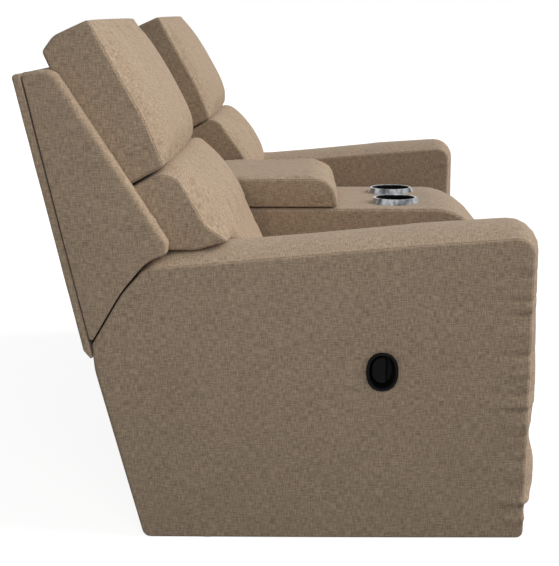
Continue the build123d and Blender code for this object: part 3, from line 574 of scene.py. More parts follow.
def puffed(piece, held, cloth, share):
    """Swells a cover with pressure while its seams and backs stay held.

    The cloth is a little larger than its seams, so that it puckers beside them, and no point moves further
    than a share of the swell limit."""
    group = piece.vertex_groups.new(name="Held")
    for weight in np.unique(held):
        group.add(np.flatnonzero(held == weight).tolist(), float(weight), "REPLACE")
    modifier = piece.modifiers.new("Filling", "CLOTH")
    settings = modifier.settings
    settings.quality = 6
    settings.mass = 0.3
    settings.tension_stiffness = 18.0
    settings.compression_stiffness = 18.0
    settings.shear_stiffness = 6.0
    settings.bending_stiffness = 1.2
    settings.use_pressure = True
    settings.uniform_pressure_force = cloth.pressure
    settings.shrink_min = -cloth.spare_cloth
    settings.vertex_group_mass = group.name
    settings.pin_stiffness = 1.0
    settings.effector_weights.gravity = 0.0
    modifier.collision_settings.use_collision = False
    modifier.collision_settings.use_self_collision = False
    modifier.point_cache.frame_end = PUFF_FRAMES
    rest = np.zeros(len(piece.data.vertices) * 3, np.float32)
    piece.data.vertices.foreach_get("co", rest)
    rest = rest.reshape(-1, 3)
    scene = bpy.context.scene
    for step in range(1, PUFF_FRAMES + 1):
        scene.frame_set(step)
    swollen = piece.evaluated_get(bpy.context.evaluated_depsgraph_get())
    places = np.zeros(len(rest) * 3, np.float32)
    swollen.data.vertices.foreach_get("co", places)
    move = places.reshape(-1, 3) - rest
    size = np.linalg.norm(move, axis=1, keepdims=True)
    limit = cloth.swell_limit * share
    move = move * np.tanh(size / limit) * limit / np.maximum(size, 1e-9)
    piece.modifiers.remove(modifier)
    scene.frame_set(1)
    piece.data.vertices.foreach_set("co", (rest + move).astype(np.float32).ravel())
    piece.data.update()
    piece.vertex_groups.clear()
    return piece


def held_points(cover, loose_round):
    """Pin weight of each point: 1 on seams, end panels and backs, 0 where the strip is loose."""
    weight = 1.0 - cover["loose"] * loose_round
    return np.round(np.concatenate((weight.ravel(), (1.0, 1.0))), 2)


# Materials

def new_material(name, values):
    """Node material whose shader has the given values; returns the material, its tree and the shader."""
    material = bpy.data.materials.new(name)
    material.use_nodes = True
    tree = material.node_tree
    shader = tree.nodes["Principled BSDF"]
    for socket, value in values.items():
        shader.inputs[socket].default_value = value
    return material, tree, shader


def own_place(tree):
    """Coordinates of the object itself."""
    return tree.nodes.new("ShaderNodeTexCoord").outputs["Object"]


def toned(colour, share):
    """A colour made darker or lighter, up to white."""
    return tuple(min(1.0, share * part) for part in colour)


def stretched(tree, coordinates, scale):
    """Coordinates multiplied by a scale for each direction."""
    node = tree.nodes.new("ShaderNodeMapping")
    node.inputs["Scale"].default_value = scale
    tree.links.new(coordinates, node.inputs["Vector"])
    return node.outputs["Vector"]


def noise(tree, vector, scale, detail, roughness=0.55):
    """Fractal noise around one half."""
    node = tree.nodes.new("ShaderNodeTexNoise")
    node.inputs["Scale"].default_value = scale
    node.inputs["Detail"].default_value = detail
    node.inputs["Roughness"].default_value = roughness
    tree.links.new(vector, node.inputs["Vector"])
    return node.outputs["Fac"]


def maths(tree, operation, first, second):
    """One sum; each input is a socket or a number."""
    node = tree.nodes.new("ShaderNodeMath")
    node.operation = operation
    for socket, value in zip(node.inputs, (first, second)):
        if isinstance(value, (int, float)):
            socket.default_value = value
        else:
            tree.links.new(value, socket)
    return node.outputs["Value"]


def scaled(tree, value, share, start):
    """start + share * value; the start is a socket or a number."""
    return maths(tree, "ADD", maths(tree, "MULTIPLY", value, share), start)


def ramp(tree, factor, *stops):
    """Colour ramp from (place, colour) stops."""
    node = tree.nodes.new("ShaderNodeValToRGB")
    while len(node.color_ramp.elements) < len(stops):
        node.color_ramp.elements.new(0.5)
    for element, (place, colour) in zip(node.color_ramp.elements, stops):
        element.position = place
        element.color = (*colour, 1.0)
    tree.links.new(factor, node.inputs["Fac"])
    return node.outputs["Color"]


def mixed(tree, kind, factor, first, second):
    """Colour mix; the factor and each colour are sockets or values."""
    node = tree.nodes.new("ShaderNodeMix")
    node.data_type = "RGBA"
    node.blend_type = kind
    colours = [socket for socket in node.inputs if socket.type == "RGBA"]
    for socket, value in zip((node.inputs["Factor"], *colours), (factor, first, second)):
        if hasattr(value, "is_output"):
            tree.links.new(value, socket)
        else:
            socket.default_value = value
    return next(socket for socket in node.outputs if socket.type == "RGBA")


def bumped(tree, shader, height, strength, distance):
    """Relief on a shader from a height."""
    node = tree.nodes.new("ShaderNodeBump")
    node.inputs["Strength"].default_value = strength
    node.inputs["Distance"].default_value = distance
    tree.links.new(height, node.inputs["Height"])
    tree.links.new(node.outputs["Normal"], shader.inputs["Normal"])


def cloth_material(cloth):
    """Linen-look weave: long and cross slubs of lighter and darker yarn, soft clouds and painted shade in
    the seams.
    """
    material, tree, shader = new_material("taupe weave", {
        "Roughness": 0.88, "Specular IOR Level": 0.25, "Sheen Weight": 0.12, "Sheen Roughness": 0.5})
    uv = tree.nodes.new("ShaderNodeUVMap")
    uv.uv_map = "Weave"
    weave = uv.outputs["UV"]
    fine = 1.0 / cloth.thread
    slow = fine / 7.0
    upright = noise(tree, stretched(tree, weave, (fine, slow, 1.0)), 1.0, 1.0)
    level = noise(tree, stretched(tree, weave, (slow, fine, 1.0)), 1.0, 1.0)
    yarn = maths(tree, "ADD", upright, level)
    cloud = noise(tree, weave, 11.0, 3.0)
    tone = scaled(tree, yarn, 0.46, maths(tree, "MULTIPLY", cloud, 0.08))
    colour = ramp(tree, tone, (0.34, toned(cloth.colour, 0.62)), (0.5, tuple(cloth.colour)),
                  (0.66, toned(cloth.colour, 1.36)))
    # Painted shade in the seams: the seam attribute mixes the colour towards dark brown
    seam = tree.nodes.new("ShaderNodeAttribute")
    seam.attribute_name = "seam"
    depth = maths(tree, "MULTIPLY", seam.outputs["Fac"], 0.7)
    shaded = mixed(tree, "MULTIPLY", depth, colour, (0.22, 0.19, 0.16, 1.0))
    tree.links.new(shaded, shader.inputs["Base Color"])
    bumped(tree, shader, yarn, 0.35, 0.0012)
    return material


def plastic_material(hardware):
    """Black moulded plastic with a fine grain and slightly uneven gloss."""
    material, tree, shader = new_material("black plastic", {"Specular IOR Level": 0.06})
    place = own_place(tree)
    patches = noise(tree, place, 60.0, 3.0)
    deep = tuple(hardware.plastic)
    tree.links.new(ramp(tree, patches, (0.3, deep), (0.7, toned(deep, 1.6))), shader.inputs["Base Color"])
    tree.links.new(scaled(tree, patches, 0.14, 0.3), shader.inputs["Roughness"])
    bumped(tree, shader, noise(tree, place, 1400.0, 2.0), 0.06, 0.0004)
    return material


def chrome_material(hardware):
    """Plated metal with upright bands of painted reflection, darker and brighter, whose noise also varies
    the roughness.
    """
    material, tree, shader = new_material("chrome", {"Metallic": 1.0})
    painted_reflection_and_polish = noise(tree, stretched(tree, own_place(tree), (1.0, 1.0, 0.05)), 55.0, 1.0)
    plate = tuple(hardware.chrome)
    # Painted reflection: bands from 0.3 to 2.4 times the plate colour stand for reflected streaks and
    # highlights
    painted_reflection_bands = ramp(tree, painted_reflection_and_polish, (0.32, toned(plate, 0.3)), (0.48, plate), (0.66, toned(plate, 2.4)))
    tree.links.new(painted_reflection_bands, shader.inputs["Base Color"])
    tree.links.new(scaled(tree, painted_reflection_and_polish, 0.1, 0.08), shader.inputs["Roughness"])
    return material


def steel_material(hardware):
    """Zinc-plated steel with cloudy spangle."""
    material, tree, shader = new_material("zinc steel", {"Metallic": 1.0})
    spangle = noise(tree, own_place(tree), 90.0, 3.0)
    zinc = ramp(tree, spangle, (0.3, tuple(hardware.dull_zinc)), (0.7, tuple(hardware.bright_zinc)))
    tree.links.new(zinc, shader.inputs["Base Color"])
    tree.links.new(scaled(tree, spangle, 0.25, 0.22), shader.inputs["Roughness"])
    return material


def paint_material(hardware):
    """Black painted steel with a light orange-peel surface and rubbed patches."""
    material, tree, shader = new_material("black paint", {})
    place = own_place(tree)
    rub = noise(tree, place, 35.0, 5.0, 0.65)
    dark = tuple(hardware.paint)
    worn = tuple(0.05 + 1.5 * part for part in dark)
    tree.links.new(ramp(tree, rub, (0.55, dark), (0.8, worn)), shader.inputs["Base Color"])
    tree.links.new(scaled(tree, rub, 0.3, 0.28), shader.inputs["Roughness"])
    bumped(tree, shader, noise(tree, place, 500.0, 2.0), 0.12, 0.0005)
    return material


def wood_material(hardware):
    """Plywood: long grain with darker streaks and fine pores."""
    material, tree, shader = new_material("plywood", {"Roughness": 0.62})
    place = own_place(tree)
    grain = noise(tree, stretched(tree, place, (4.0, 60.0, 60.0)), 1.0, 4.0, 0.6)
    pores = noise(tree, stretched(tree, place, (30.0, 700.0, 700.0)), 1.0, 2.0)
    pale = tuple(hardware.wood)
    colour = ramp(tree, grain, (0.32, toned(pale, 0.55)), (0.55, pale), (0.75, toned(pale, 1.2)))
    specks = mixed(tree, "MULTIPLY", maths(tree, "MULTIPLY", pores, 0.35), colour, (0.5, 0.42, 0.34, 1.0))
    tree.links.new(specks, shader.inputs["Base Color"])
    bumped(tree, shader, pores, 0.15, 0.0006)
    return material


def material_for(slot, settings):
    """Finish of a record's material slot, made the first time that it is asked for."""
    makers = {
        "upholstery": (cloth_material, settings.cloth),
        "black_plastic": (plastic_material, settings.hardware),
        "chrome": (chrome_material, settings.hardware),
        "bright_steel": (steel_material, settings.hardware),
        "painted_steel": (paint_material, settings.hardware),
        "wood": (wood_material, settings.hardware),
    }
    found = next((made for made in bpy.data.materials if made.get("loveseat_slot") == slot), None)
    if found is None:
        maker, group = makers[slot]
        found = maker(group)
        found["loveseat_slot"] = slot
    return found


# Arms

# Crown of the arm's front panel at heights above the floor, in metres
ARM_FRONT_HEIGHTS = (0.006, 0.038, 0.058, 0.09, 0.15, 0.178, 0.202, 0.235, 0.27, 0.31, 0.37, 0.45, 0.6)
ARM_FRONT_CROWN = (0.003, 0.005, 0.012, 0.03, 0.029, 0.021, 0.0135, 0.018, 0.0235, 0.0255, 0.0225, 0.0195,
                   0.0175)


def arm_corners(low, high):
    """Side panel of the arm: toe, heel, kink, seam with the wing, round top rear, rising top, front."""
    return [
        (low.y + 0.0185, low.z - SOLE_DROP, 0.014),
        (high.y - 0.09, low.z - SOLE_DROP, 0.018),
        (high.y + 0.001, KINK_HEIGHT, 0.1),
        (high.y + 0.0045, 0.403, 0.02),
        (high.y - 0.0575, high.z - 0.1215, 0.2),
        (high.y - 0.1055, high.z - 0.0705, 0.045),
        (high.y - 0.636, high.z - 0.0235, 0.8),
        (low.y + 0.011, high.z - 0.0065, 0.034),
    ]


def build_arms(settings):
    """Padded arms: a domed top and front between two side panels, with a pocket for the handle."""
    cloth = settings.cloth
    low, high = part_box("right_arm_cover")
    cup_low, cup_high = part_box("right_handle_cup")
    cup = (cup_low + cup_high) / 2
    tuck = 0.003
    hub = ((cup_high.y - cup_low.y) / 2 - tuck, (cup_high.z - cup_low.z) / 2 - tuck)
    pocket = cup_high.x - low.x + 0.002
    shape = outline(arm_corners(low, high), cloth.fine_spacing * 0.8)
    top = by_station(shape, (0, 0.0), (4, 0.0), (4.8, 0.003), (5.1, 0.018), (5.27, 0.025), (5.36, 0.025),
                     (5.42, 0.02), (5.55, 0.019), (5.8, 0.021), (6.3, 0.022), (7, 0.0195), (8, 0.0))
    front = np.interp(shape.points[:, 1], ARM_FRONT_HEIGHTS, ARM_FRONT_CROWN)
    bow = rounded_off(np.where(shape.station > 7.2, front, top), 8)
    roll = by_station(shape, (0, 0.003), (1, 0.004), (2, 0.008), (3, 0.004), (5, 0.004),
                      (5.4, cloth.edge_roll), (7.6, cloth.edge_roll), (8, 0.003))
    tight = by_station(shape, (0, 0.0), (7.1, 0.0), (7.28, 0.4), (7.34, 1.0), (7.46, 1.0), (7.5, 0.25),
                       (7.56, 1.0), (7.6, 0.4), (7.64, 1.6), (7.7, 1.4), (7.76, 0.0), (8, 0.0))
    for side, sign in SIDES.items():
        folds = puckers(ARM_SEEDS[side], shape, tight + 0.012, count=48, height=0.0034, width=0.0055,
                        reach=0.042)
        outer = Panel((cup.y, cup.z), 0.0025, hub, pocket, folds)
        inner = Panel(crown=0.002, folds=folds)
        cover = upholstered(shape, (low.x, high.x), roll, bow, cloth.spacing, cloth.seam_depth * 0.3, outer,
                            inner, rings=40)
        piece = ring_mesh(f"{side}_arm_upholstery", mirrored(on_floor(cover), sign))
        finished(piece, "base", "upholstery", settings, [f"{side}_arm_cover"])


# Backs

def wing_corners(low, high):
    """Side panel of a wing: tail, top rear, crowned top, top front, nose, seam along the arm."""
    return [
        (low.y + 0.1555, low.z + 0.001, 0.005),
        (high.y + 0.0015, high.z - 0.0075, 0.009),
        (high.y - 0.034, high.z + 0.001, 0.05),
        (high.y - 0.065, high.z - 0.0045, 0.02),
        (low.y - 0.0035, low.z + 0.204, 0.02),
        (low.y + 0.0005, low.z + 0.182, 0.01),
        (low.y + 0.04, low.z + 0.168, 0.08),
        (low.y + 0.0925, low.z + 0.106, 0.2),
    ]


def inner_wing_corners(low, high):
    """Side panel of the wing by the console, straight down behind the seat."""
    foot = low.z - 0.068
    return [
        (low.y - 0.042, foot, 0.02),
        (low.y + 0.193, foot, 0.012),
        (high.y + 0.0015, high.z - 0.0075, 0.009),
        (high.y - 0.034, high.z + 0.001, 0.05),
        (high.y - 0.065, high.z - 0.0045, 0.02),
    ]


def build_wings(settings):
    """Padded wings beside the back cushions, soft along their front edge."""
    cloth = settings.cloth
    soft = cloth.soft_roll
    edges = {
        "outer": (wing_corners, ((0, 0.002), (1, 0.002), (1.7, 0.009), (2.6, 0.012), (3.3, soft),
                                 (3.8, soft), (4.2, 0.011), (5.0, 0.006), (5.6, 0.003), (8, 0.003))),
        "inner": (inner_wing_corners, ((0, soft), (0.4, 0.006), (2, 0.003), (2.7, 0.009), (3.6, 0.012),
                                       (4.3, soft), (5, soft))),
    }
    for kind, (corners, rolls) in edges.items():
        low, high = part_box(f"right_{kind}_wing")
        shape = outline(corners(low, high), cloth.fine_spacing)
        roll = np.minimum(rounded_off(by_station(shape, *rolls), 6), (high.x - low.x) / 2 - 0.001)
        edge = np.clip((roll - 0.009) / 0.006, 0.0, 1.0)
        for side, sign in SIDES.items():
            folds = puckers(WING_SEEDS[side], shape, edge + 0.02, count=40, height=0.0016, width=0.006,
                            reach=0.022)
            cover = upholstered(shape, (low.x, high.x), roll, 0.0, cloth.fine_spacing,
                                low=Panel(crown=0.003, folds=folds), rings=30)
            piece = ring_mesh(f"{side}_{kind}_wing_upholstery", mirrored(cover, sign))
            finished(piece, f"{side}_back", "upholstery", settings, [f"{side}_{kind}_wing"])


def build_outside_backs(settings):
    """Rear of each back: a panel above the arm, a flap between arm and console, a strip over the board."""
    cloth = settings.cloth
    low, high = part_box("right_outside_back")
    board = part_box("right_back_board")[1]
    outer_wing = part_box("right_outer_wing")
    inner_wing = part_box("right_inner_wing")
    room = 0.0045
    bay = (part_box("right_arm_cover")[1].x + room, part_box("console_cover")[0].x - room)
    thick = 0.017
    rear = high.y + 0.003
    lean = (rear - 0.0165 - low.y) / (high.z - low.z)
    foot = outer_wing[0].z - 0.022
    hem = low.z - 0.017
    ledge = board.z + 0.001
    strip_front = board.y - 0.041

    def leaning(height, inset, radius):
        """Corner on the rear face at a height, moved forward."""
        return rear - (high.z - height) * lean - inset, height, radius

    panel = [
        leaning(foot - 0.014, thick - 0.002, 0.003),
        leaning(foot + 0.010, 0.0, 0.007),
        leaning(high.z, 0.0, 0.007),
        leaning(high.z + 0.003, thick - 0.001, 0.004),
    ]
    flap = [
        leaning(hem, thick - 0.002, 0.004),
        leaning(hem, 0.003, 0.006),
        leaning(foot + 0.004, 0.003, 0.004),
        leaning(foot + 0.004, thick - 0.002, 0.004),
    ]
    strip = [
        (strip_front, ledge, 0.004),
        leaning(ledge, thick - 0.003, 0.003),
        leaning(high.z + 0.001, thick - 0.003, 0.005),
        (strip_front, high.z + 0.003, 0.006),
    ]
    pieces = {
        "panel": (panel, (low.x, high.x), 0.004),
        "flap": (flap, bay, 0.004),
        "top": (strip, (outer_wing[1].x - 0.001, inner_wing[0].x + 0.001), 0.0),
    }
    for name, (corners, span, crown) in pieces.items():
        shape = outline(corners, cloth.fine_spacing)
        bow = by_station(shape, (0, 0.0), (1, 0.0), (1.5, crown), (2, 0.0), (4, 0.0))
        tight = by_station(shape, (0, 0.0), (1, 1.0), (2, 1.0), (2.3, 0.0), (4, 0.0))
        for side, sign in SIDES.items():
            end = Panel(folds=puckers(OUTSIDE_BACK_SEEDS[side], shape, tight, count=26, height=0.001,
                                      width=0.02, reach=0.07))
            cover = upholstered(shape, span, 0.003, bow, cloth.spacing, low=end, fullness=FLAT_ACROSS)
            piece = ring_mesh(f"{side}_outside_back_{name}", mirrored(cover, sign))
            nodes = [f"{side}_outside_back"] if name == "panel" else []
            finished(piece, f"{side}_back", "upholstery", settings, nodes)


# Back cushions

def headrest_corners(low, high):
    """Side of the head cushion: rear foot, shoulder, rear top, ridge, top front, front, front foot."""
    return [
        (0.4155, low.z, 0.015),
        (high.y - 0.0135, high.z - 0.094, 0.03),
        (high.y + 0.002, high.z - 0.06, 0.012),
        (high.y - 0.021, high.z - 0.0295, 0.04),
        (high.y - 0.091, high.z + 0.002, 0.008),
        (low.y + 0.033, low.z + 0.182, 0.5),
        (low.y + 0.002, low.z + 0.1, 0.01),
    ]


def lumbar_corners():
    """Outlines of the lumbar cushion: side panel, over the arm, at the arm's inner edge, behind the seat.

    They share most of their rear and front; the last corner lies on the front at the height of the arm."""
    rear = [(0.3985, 0.5875, 0.012), (0.4125, 0.6525, 0.012)]
    crest = (0.2195, 0.7595, 0.03)
    front = (0.15, 0.664, 0.3)
    side = [
        (0.1275, 0.5995, 0.003),
        (0.175, 0.5865, 0.08),
        *rear,
        (0.2195, 0.7545, 0.045),
        (0.153, 0.6355, 0.05),
        (0.1095, 0.605, 0.003),
    ]
    over_arm = [(0.1265, 0.5985, 0.003), (0.175, 0.5925, 0.08), *rear, crest, front, (0.1115, 0.6, 0.004)]
    arm_edge = [(0.119, 0.5785, 0.003), (0.175, 0.572, 0.08), *rear, crest, front, (0.1019, 0.58, 0.004)]
    to_seat = [
        (0.0545, 0.4815, 0.02),
        (0.108, 0.437, 0.02),
        (0.362, 0.437, 0.012),
        rear[1],
        crest,
        front,
        (0.1115, 0.6, 0.4),
    ]
    return side, over_arm, arm_edge, to_seat


def build_cushions(settings):
    """Head and lumbar cushions, swollen with filling between their sewn side panels."""
    build_headrests(settings)
    build_lumbars(settings)


def copies(piece, name, body, node, settings):
    """Places a finished right-hand cushion and its mirror image on the left."""
    for side, sign in SIDES.items():
        made = piece
        if sign < 0:
            mesh = piece.data.copy()
            mesh.transform(Matrix.Diagonal((sign, 1.0, 1.0, 1.0)))
            mesh.flip_normals()
            made = placed(f"{side}_{name}", mesh)
        softened(made)
        finished(made, body.format(side=side), "upholstery", settings, [f"{side}_{node}"])


def build_headrests(settings):
    """Head cushions: flat side panels and top, a full front."""
    cloth = settings.cloth
    low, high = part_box("right_headrest_cushion")
    shape = outline(headrest_corners(low, high), cloth.spacing)
    bow = by_station(shape, (0, 0.0), (3, 0.0), (4, 0.001), (4.3, 0.006), (4.7, 0.01), (5.5, 0.016),
                     (6, 0.015), (6.4, 0.003), (7, 0.0))
    loose = by_station(shape, (0, 0.0), (3.8, 0.0), (4.3, 1.0), (6.1, 1.0), (6.5, 0.0), (7, 0.0))
    tight = by_station(shape, (0, 0.1), (3, 0.2), (4, 1.0), (6, 1.0), (6.5, 0.2), (7, 0.1))
    folds = puckers(HEADREST_SEED, shape, tight, count=26, height=0.0012, width=0.008, reach=0.024)
    cover = upholstered(shape, (low.x, high.x), cloth.edge_roll, bow, cloth.spacing, cloth.seam_depth * 0.4,
                        Panel(crown=0.004, folds=folds), rings=13)
    piece = stuffed("right_headrest", cloth, cover, loose)
    copies(piece, "headrest", "{side}_back", "headrest_cushion", settings)


def build_lumbars(settings):
    """Lumbar cushions: full front, a pointed corner over the arm, and a foot behind the seat."""
    cloth = settings.cloth
    low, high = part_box("right_lumbar_cushion")
    arm_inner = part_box("right_arm_cover")[1].x
    side, over_arm, arm_edge, to_seat = lumbar_corners()
    seat_shape = outline(to_seat, cloth.spacing)
    shape, arm_shape, edge_shape = (outline(corners, cloth.spacing, seat_shape.plan)
                                    for corners in (side, over_arm, arm_edge))
    step = (arm_inner + 0.0025, arm_inner + 0.0095)
    lofts = (
        (arm_shape, lambda x: smooth((x - low.x - 0.008) / 0.07)),
        (edge_shape, lambda x: smooth((x - arm_inner + 0.0875) / 0.083)),
        (seat_shape, lambda x: smooth((x - step[0]) / (step[1] - step[0]))),
    )
    bow = by_station(shape, (0, 0.004), (1, 0.0), (3, 0.0), (4, 0.004), (4.4, 0.012), (5, 0.014),
                     (6, 0.012), (6.4, 0.006), (7, 0.004))
    loose = by_station(shape, (0, 0.0), (3.8, 0.0), (4.2, 1.0), (5.9, 1.0), (6.3, 0.5), (7, 0.0))
    tight = by_station(shape, (0, 0.3), (1, 0.1), (4, 0.1), (4.4, 1.0), (6, 1.0), (7, 0.3))
    folds = puckers(LUMBAR_SEED, shape, tight, count=24, height=0.0012, width=0.008, reach=0.024)
    cover = upholstered(shape, (low.x, high.x), cloth.edge_roll * 0.8, bow, cloth.spacing,
                        cloth.seam_depth * 0.4, Panel(crown=0.004, folds=folds), lofts=lofts,
                        stops=np.linspace(*step, 4), rings=13)
    piece = stuffed("right_lumbar", cloth, cover, loose)
    copies(piece, "lumbar", "{side}_back", "lumbar_cushion", settings)


# Seats and footrests

def seat_corners(low, high):
    """Side panel of the seat cushion: flat underside, sloping top, round nose."""
    return [
        (low.y + 0.036, low.z, 0.03),
        (high.y, low.z, 0.012),
        (high.y, high.z - 0.028, 0.02),
        (low.y + 0.05, high.z - 0.006, 0.045),
        (low.y + 0.004, low.z + 0.038, 0.03),
    ]


def footrest_corners(low, high):
    """Side panel of the footrest pad: flat on its board, rounded to the front."""
    return [
        (high.y, low.z + 0.006, 0.006),
        (high.y, high.z - 0.006, 0.006),
        (low.y + 0.012, high.z - 0.006, 0.022),
        (low.y + 0.012, low.z + 0.006, 0.022),
    ]


def build_seats(settings):
    """Seat cushions, crowned and held at their underside."""
    cloth = settings.cloth
    low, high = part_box("right_seat_cushion")
    shape = outline(seat_corners(low, high), cloth.spacing)
    bow = by_station(shape, (0, 0.0), (2, 0.002), (2.5, 0.006), (3, 0.005), (4, 0.003), (5, 0.0))
    loose = by_station(shape, (0, 0.0), (2.1, 0.0), (2.5, 1.0), (4.2, 1.0), (4.8, 0.0), (5, 0.0))
    cover = upholstered(shape, (low.x + 0.001, high.x - 0.001), cloth.edge_roll, bow, cloth.spacing,
                        cloth.seam_depth, rings=10)
    piece = stuffed("right_seat", cloth, cover, loose)
    copies(piece, "seat", "base", "seat_cushion", settings)
    build_rail_covers(settings, low.z)


def build_rail_covers(settings, top):
    """Cloth over the front rail of each seat, up to the cushion."""
    cloth = settings.cloth
    low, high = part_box("right_seat_frame")
    near, far = low.y - 0.0005, low.y - 0.0035
    foot, head = low.z - 0.001, top - 0.0005
    edge = 0.001
    shape = outline([(far, foot, edge), (near, foot, edge), (near, head, edge), (far, head, edge)],
                    cloth.fine_spacing)
    cover = upholstered(shape, (low.x, high.x), edge, 0.0, cloth.spacing)
    for side, sign in SIDES.items():
        piece = ring_mesh(f"{side}_seat_rail_cover", mirrored(cover, sign))
        finished(piece, "base", "upholstery", settings)


def build_footrests(settings):
    """Footrest pads on their boards."""
    cloth = settings.cloth
    low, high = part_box("right_footrest_pad")
    shape = outline(footrest_corners(low, high), cloth.spacing)
    bow = by_station(shape, (0, 0.0), (1, 0.0), (2, 0.003), (2.5, 0.006), (3, 0.003), (4, 0.0))
    loose = by_station(shape, (0, 0.0), (1.2, 0.0), (1.8, 1.0), (3.2, 1.0), (3.8, 0.0), (4, 0.0))
    cover = upholstered(shape, (low.x + 0.001, high.x - 0.001), cloth.edge_roll, bow, cloth.spacing,
                        cloth.seam_depth, rings=7)
    piece = stuffed("right_footrest", cloth, cover, loose)
    copies(piece, "footrest", "{side}_footrest", "footrest_pad", settings)


# Console

def console_corners(low, high, foot_rear, kink):
    """Side panel of the console: toe, heel, kink, rear top, front with a wide round corner."""
    return [
        (low.y + 0.006, low.z - SOLE_DROP, 0.018),
        (foot_rear, low.z - SOLE_DROP, 0.02),
        (kink, KINK_HEIGHT, 0.1),
        (high.y - 0.001, high.z, 0.01),
        (-0.29, high.z - 0.001, 1.2),
        (-0.435, high.z, 0.13),
        (low.y + 0.012, high.z - 0.1, 0.08),
    ]


def lid_corners(low, high):
    """Side panel of the lid: flat underside, upright rear, level top, round nose."""
    return [
        (low.y - 0.0025, low.z - 0.001, 0.004),
        (high.y, low.z - 0.001, 0.004),
        (high.y, high.z - 0.006, 0.012),
        (low.y + 0.009, high.z - 0.003, 0.054),
    ]


def console_back_corners(low, high):
    """Side panel of the pad behind the lid."""
    return [
        (low.y + 0.006, low.z, 0.012),
        (0.415, low.z, 0.01),
        (high.y - 0.002, high.z - 0.012, 0.02),
        (high.y - 0.094, high.z - 0.01, 0.025),
    ]


def block_cover(low, high, radius, spacing):
    """Closed rounded block between two corners, for cutting."""
    shape = outline([(low.y, low.z, radius), (high.y, low.z, radius), (high.y, high.z, radius),
                     (low.y, high.z, radius)], spacing)
    return upholstered(shape, (low.x, high.x), radius, 0.0, spacing)


def revolved(profile, x, y, around, caps=None):
    """Surface of revolution: (r cos a, r sin a, z) for each (r, z) of a profile round an upright axis."""
    angle = np.linspace(0.0, 2.0 * np.pi, around, endpoint=False)
    radius, height = np.array(profile, float).T[:, :, None]
    across = x + radius * np.cos(angle)
    deep = y + radius * np.sin(angle)
    ends = ((x, y, caps[0]), (x, y, caps[1])) if caps else None
    return {"grid": np.stack((across, deep, np.tile(height, (1, around))), -1), "caps": ends}


def drum_cover(x, y, radius, bottom, top):
    """Closed upright drum, for cutting: rings at its foot and its top."""
    return revolved(((radius, bottom), (radius, top)), x, y, ROUND_STEPS, (bottom, top))


def build_console(settings):
    """Console body with openings for the bin and the cup holders, and the pad behind the lid."""
    cloth = settings.cloth
    low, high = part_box("console_cover")
    arm_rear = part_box("right_arm_cover")[1].y
    shape = outline(console_corners(low, high, arm_rear - 0.095, arm_rear), cloth.fine_spacing)
    bow = by_station(shape, (0, 0.006), (0.4, 0.0), (3, 0.0), (3.6, 0.0), (4, 0.0005), (4.6, 0.004),
                     (5, 0.011), (6, 0.014), (6.5, 0.013), (7, 0.006))
    roll = by_station(shape, (0, 0.006), (2, 0.008), (3, 0.008), (4, 0.01), (6, 0.01), (7, 0.006))
    tight = by_station(shape, (0, 0.3), (0.4, 0.0), (3, 0.0), (3.4, 1.0), (7, 1.0))
    folds = puckers(CONSOLE_SEED, shape, tight, count=40, height=0.0014, width=0.01, reach=0.035)
    cover = upholstered(shape, (low.x, high.x), roll, bow, cloth.spacing, cloth.seam_depth * 0.3,
                        Panel(crown=0.002, folds=folds), rings=26)
    piece = ring_mesh("console_upholstery", on_floor(cover))
    gap = 0.0006
    above = 0.08
    bin_low, bin_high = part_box("console_bin")
    bin_block = block_cover(bin_low - Vector((gap, gap, gap)), bin_high + Vector((gap, gap, above)), 0.006,
                            cloth.spacing)
    cutters = [ring_mesh("bin opening", bin_block)]
    well_room = 0.0524
    well_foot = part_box("cup_wells")[0].z - gap
    for x, y in cup_places():
        cutters.append(ring_mesh("cup opening", drum_cover(x, y, well_room, well_foot, high.z + above)))
    cut_out(piece, cutters)
    finished(piece, "base", "upholstery", settings, ["console_cover"])
    build_console_back(settings)


def build_console_back(settings):
    """Pad between the two backs."""
    cloth = settings.cloth
    low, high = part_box("console_back_pad")
    shape = outline(console_back_corners(low, high), cloth.spacing)
    bow = by_station(shape, (0, 0.0), (1, 0.0), (1.5, 0.003), (2, 0.003), (3, 0.005), (3.5, 0.006),
                     (4, 0.0))
    loose = by_station(shape, (0, 0.0), (1.8, 0.0), (2.3, 1.0), (3.7, 1.0), (4, 0.0))
    cover = upholstered(shape, (low.x + 0.002, high.x - 0.002), cloth.edge_roll, bow, cloth.spacing,
                        cloth.seam_depth, rings=9)
    piece = softened(stuffed("console_back", cloth, cover, loose))
    finished(piece, "base", "upholstery", settings, ["console_back_pad"])


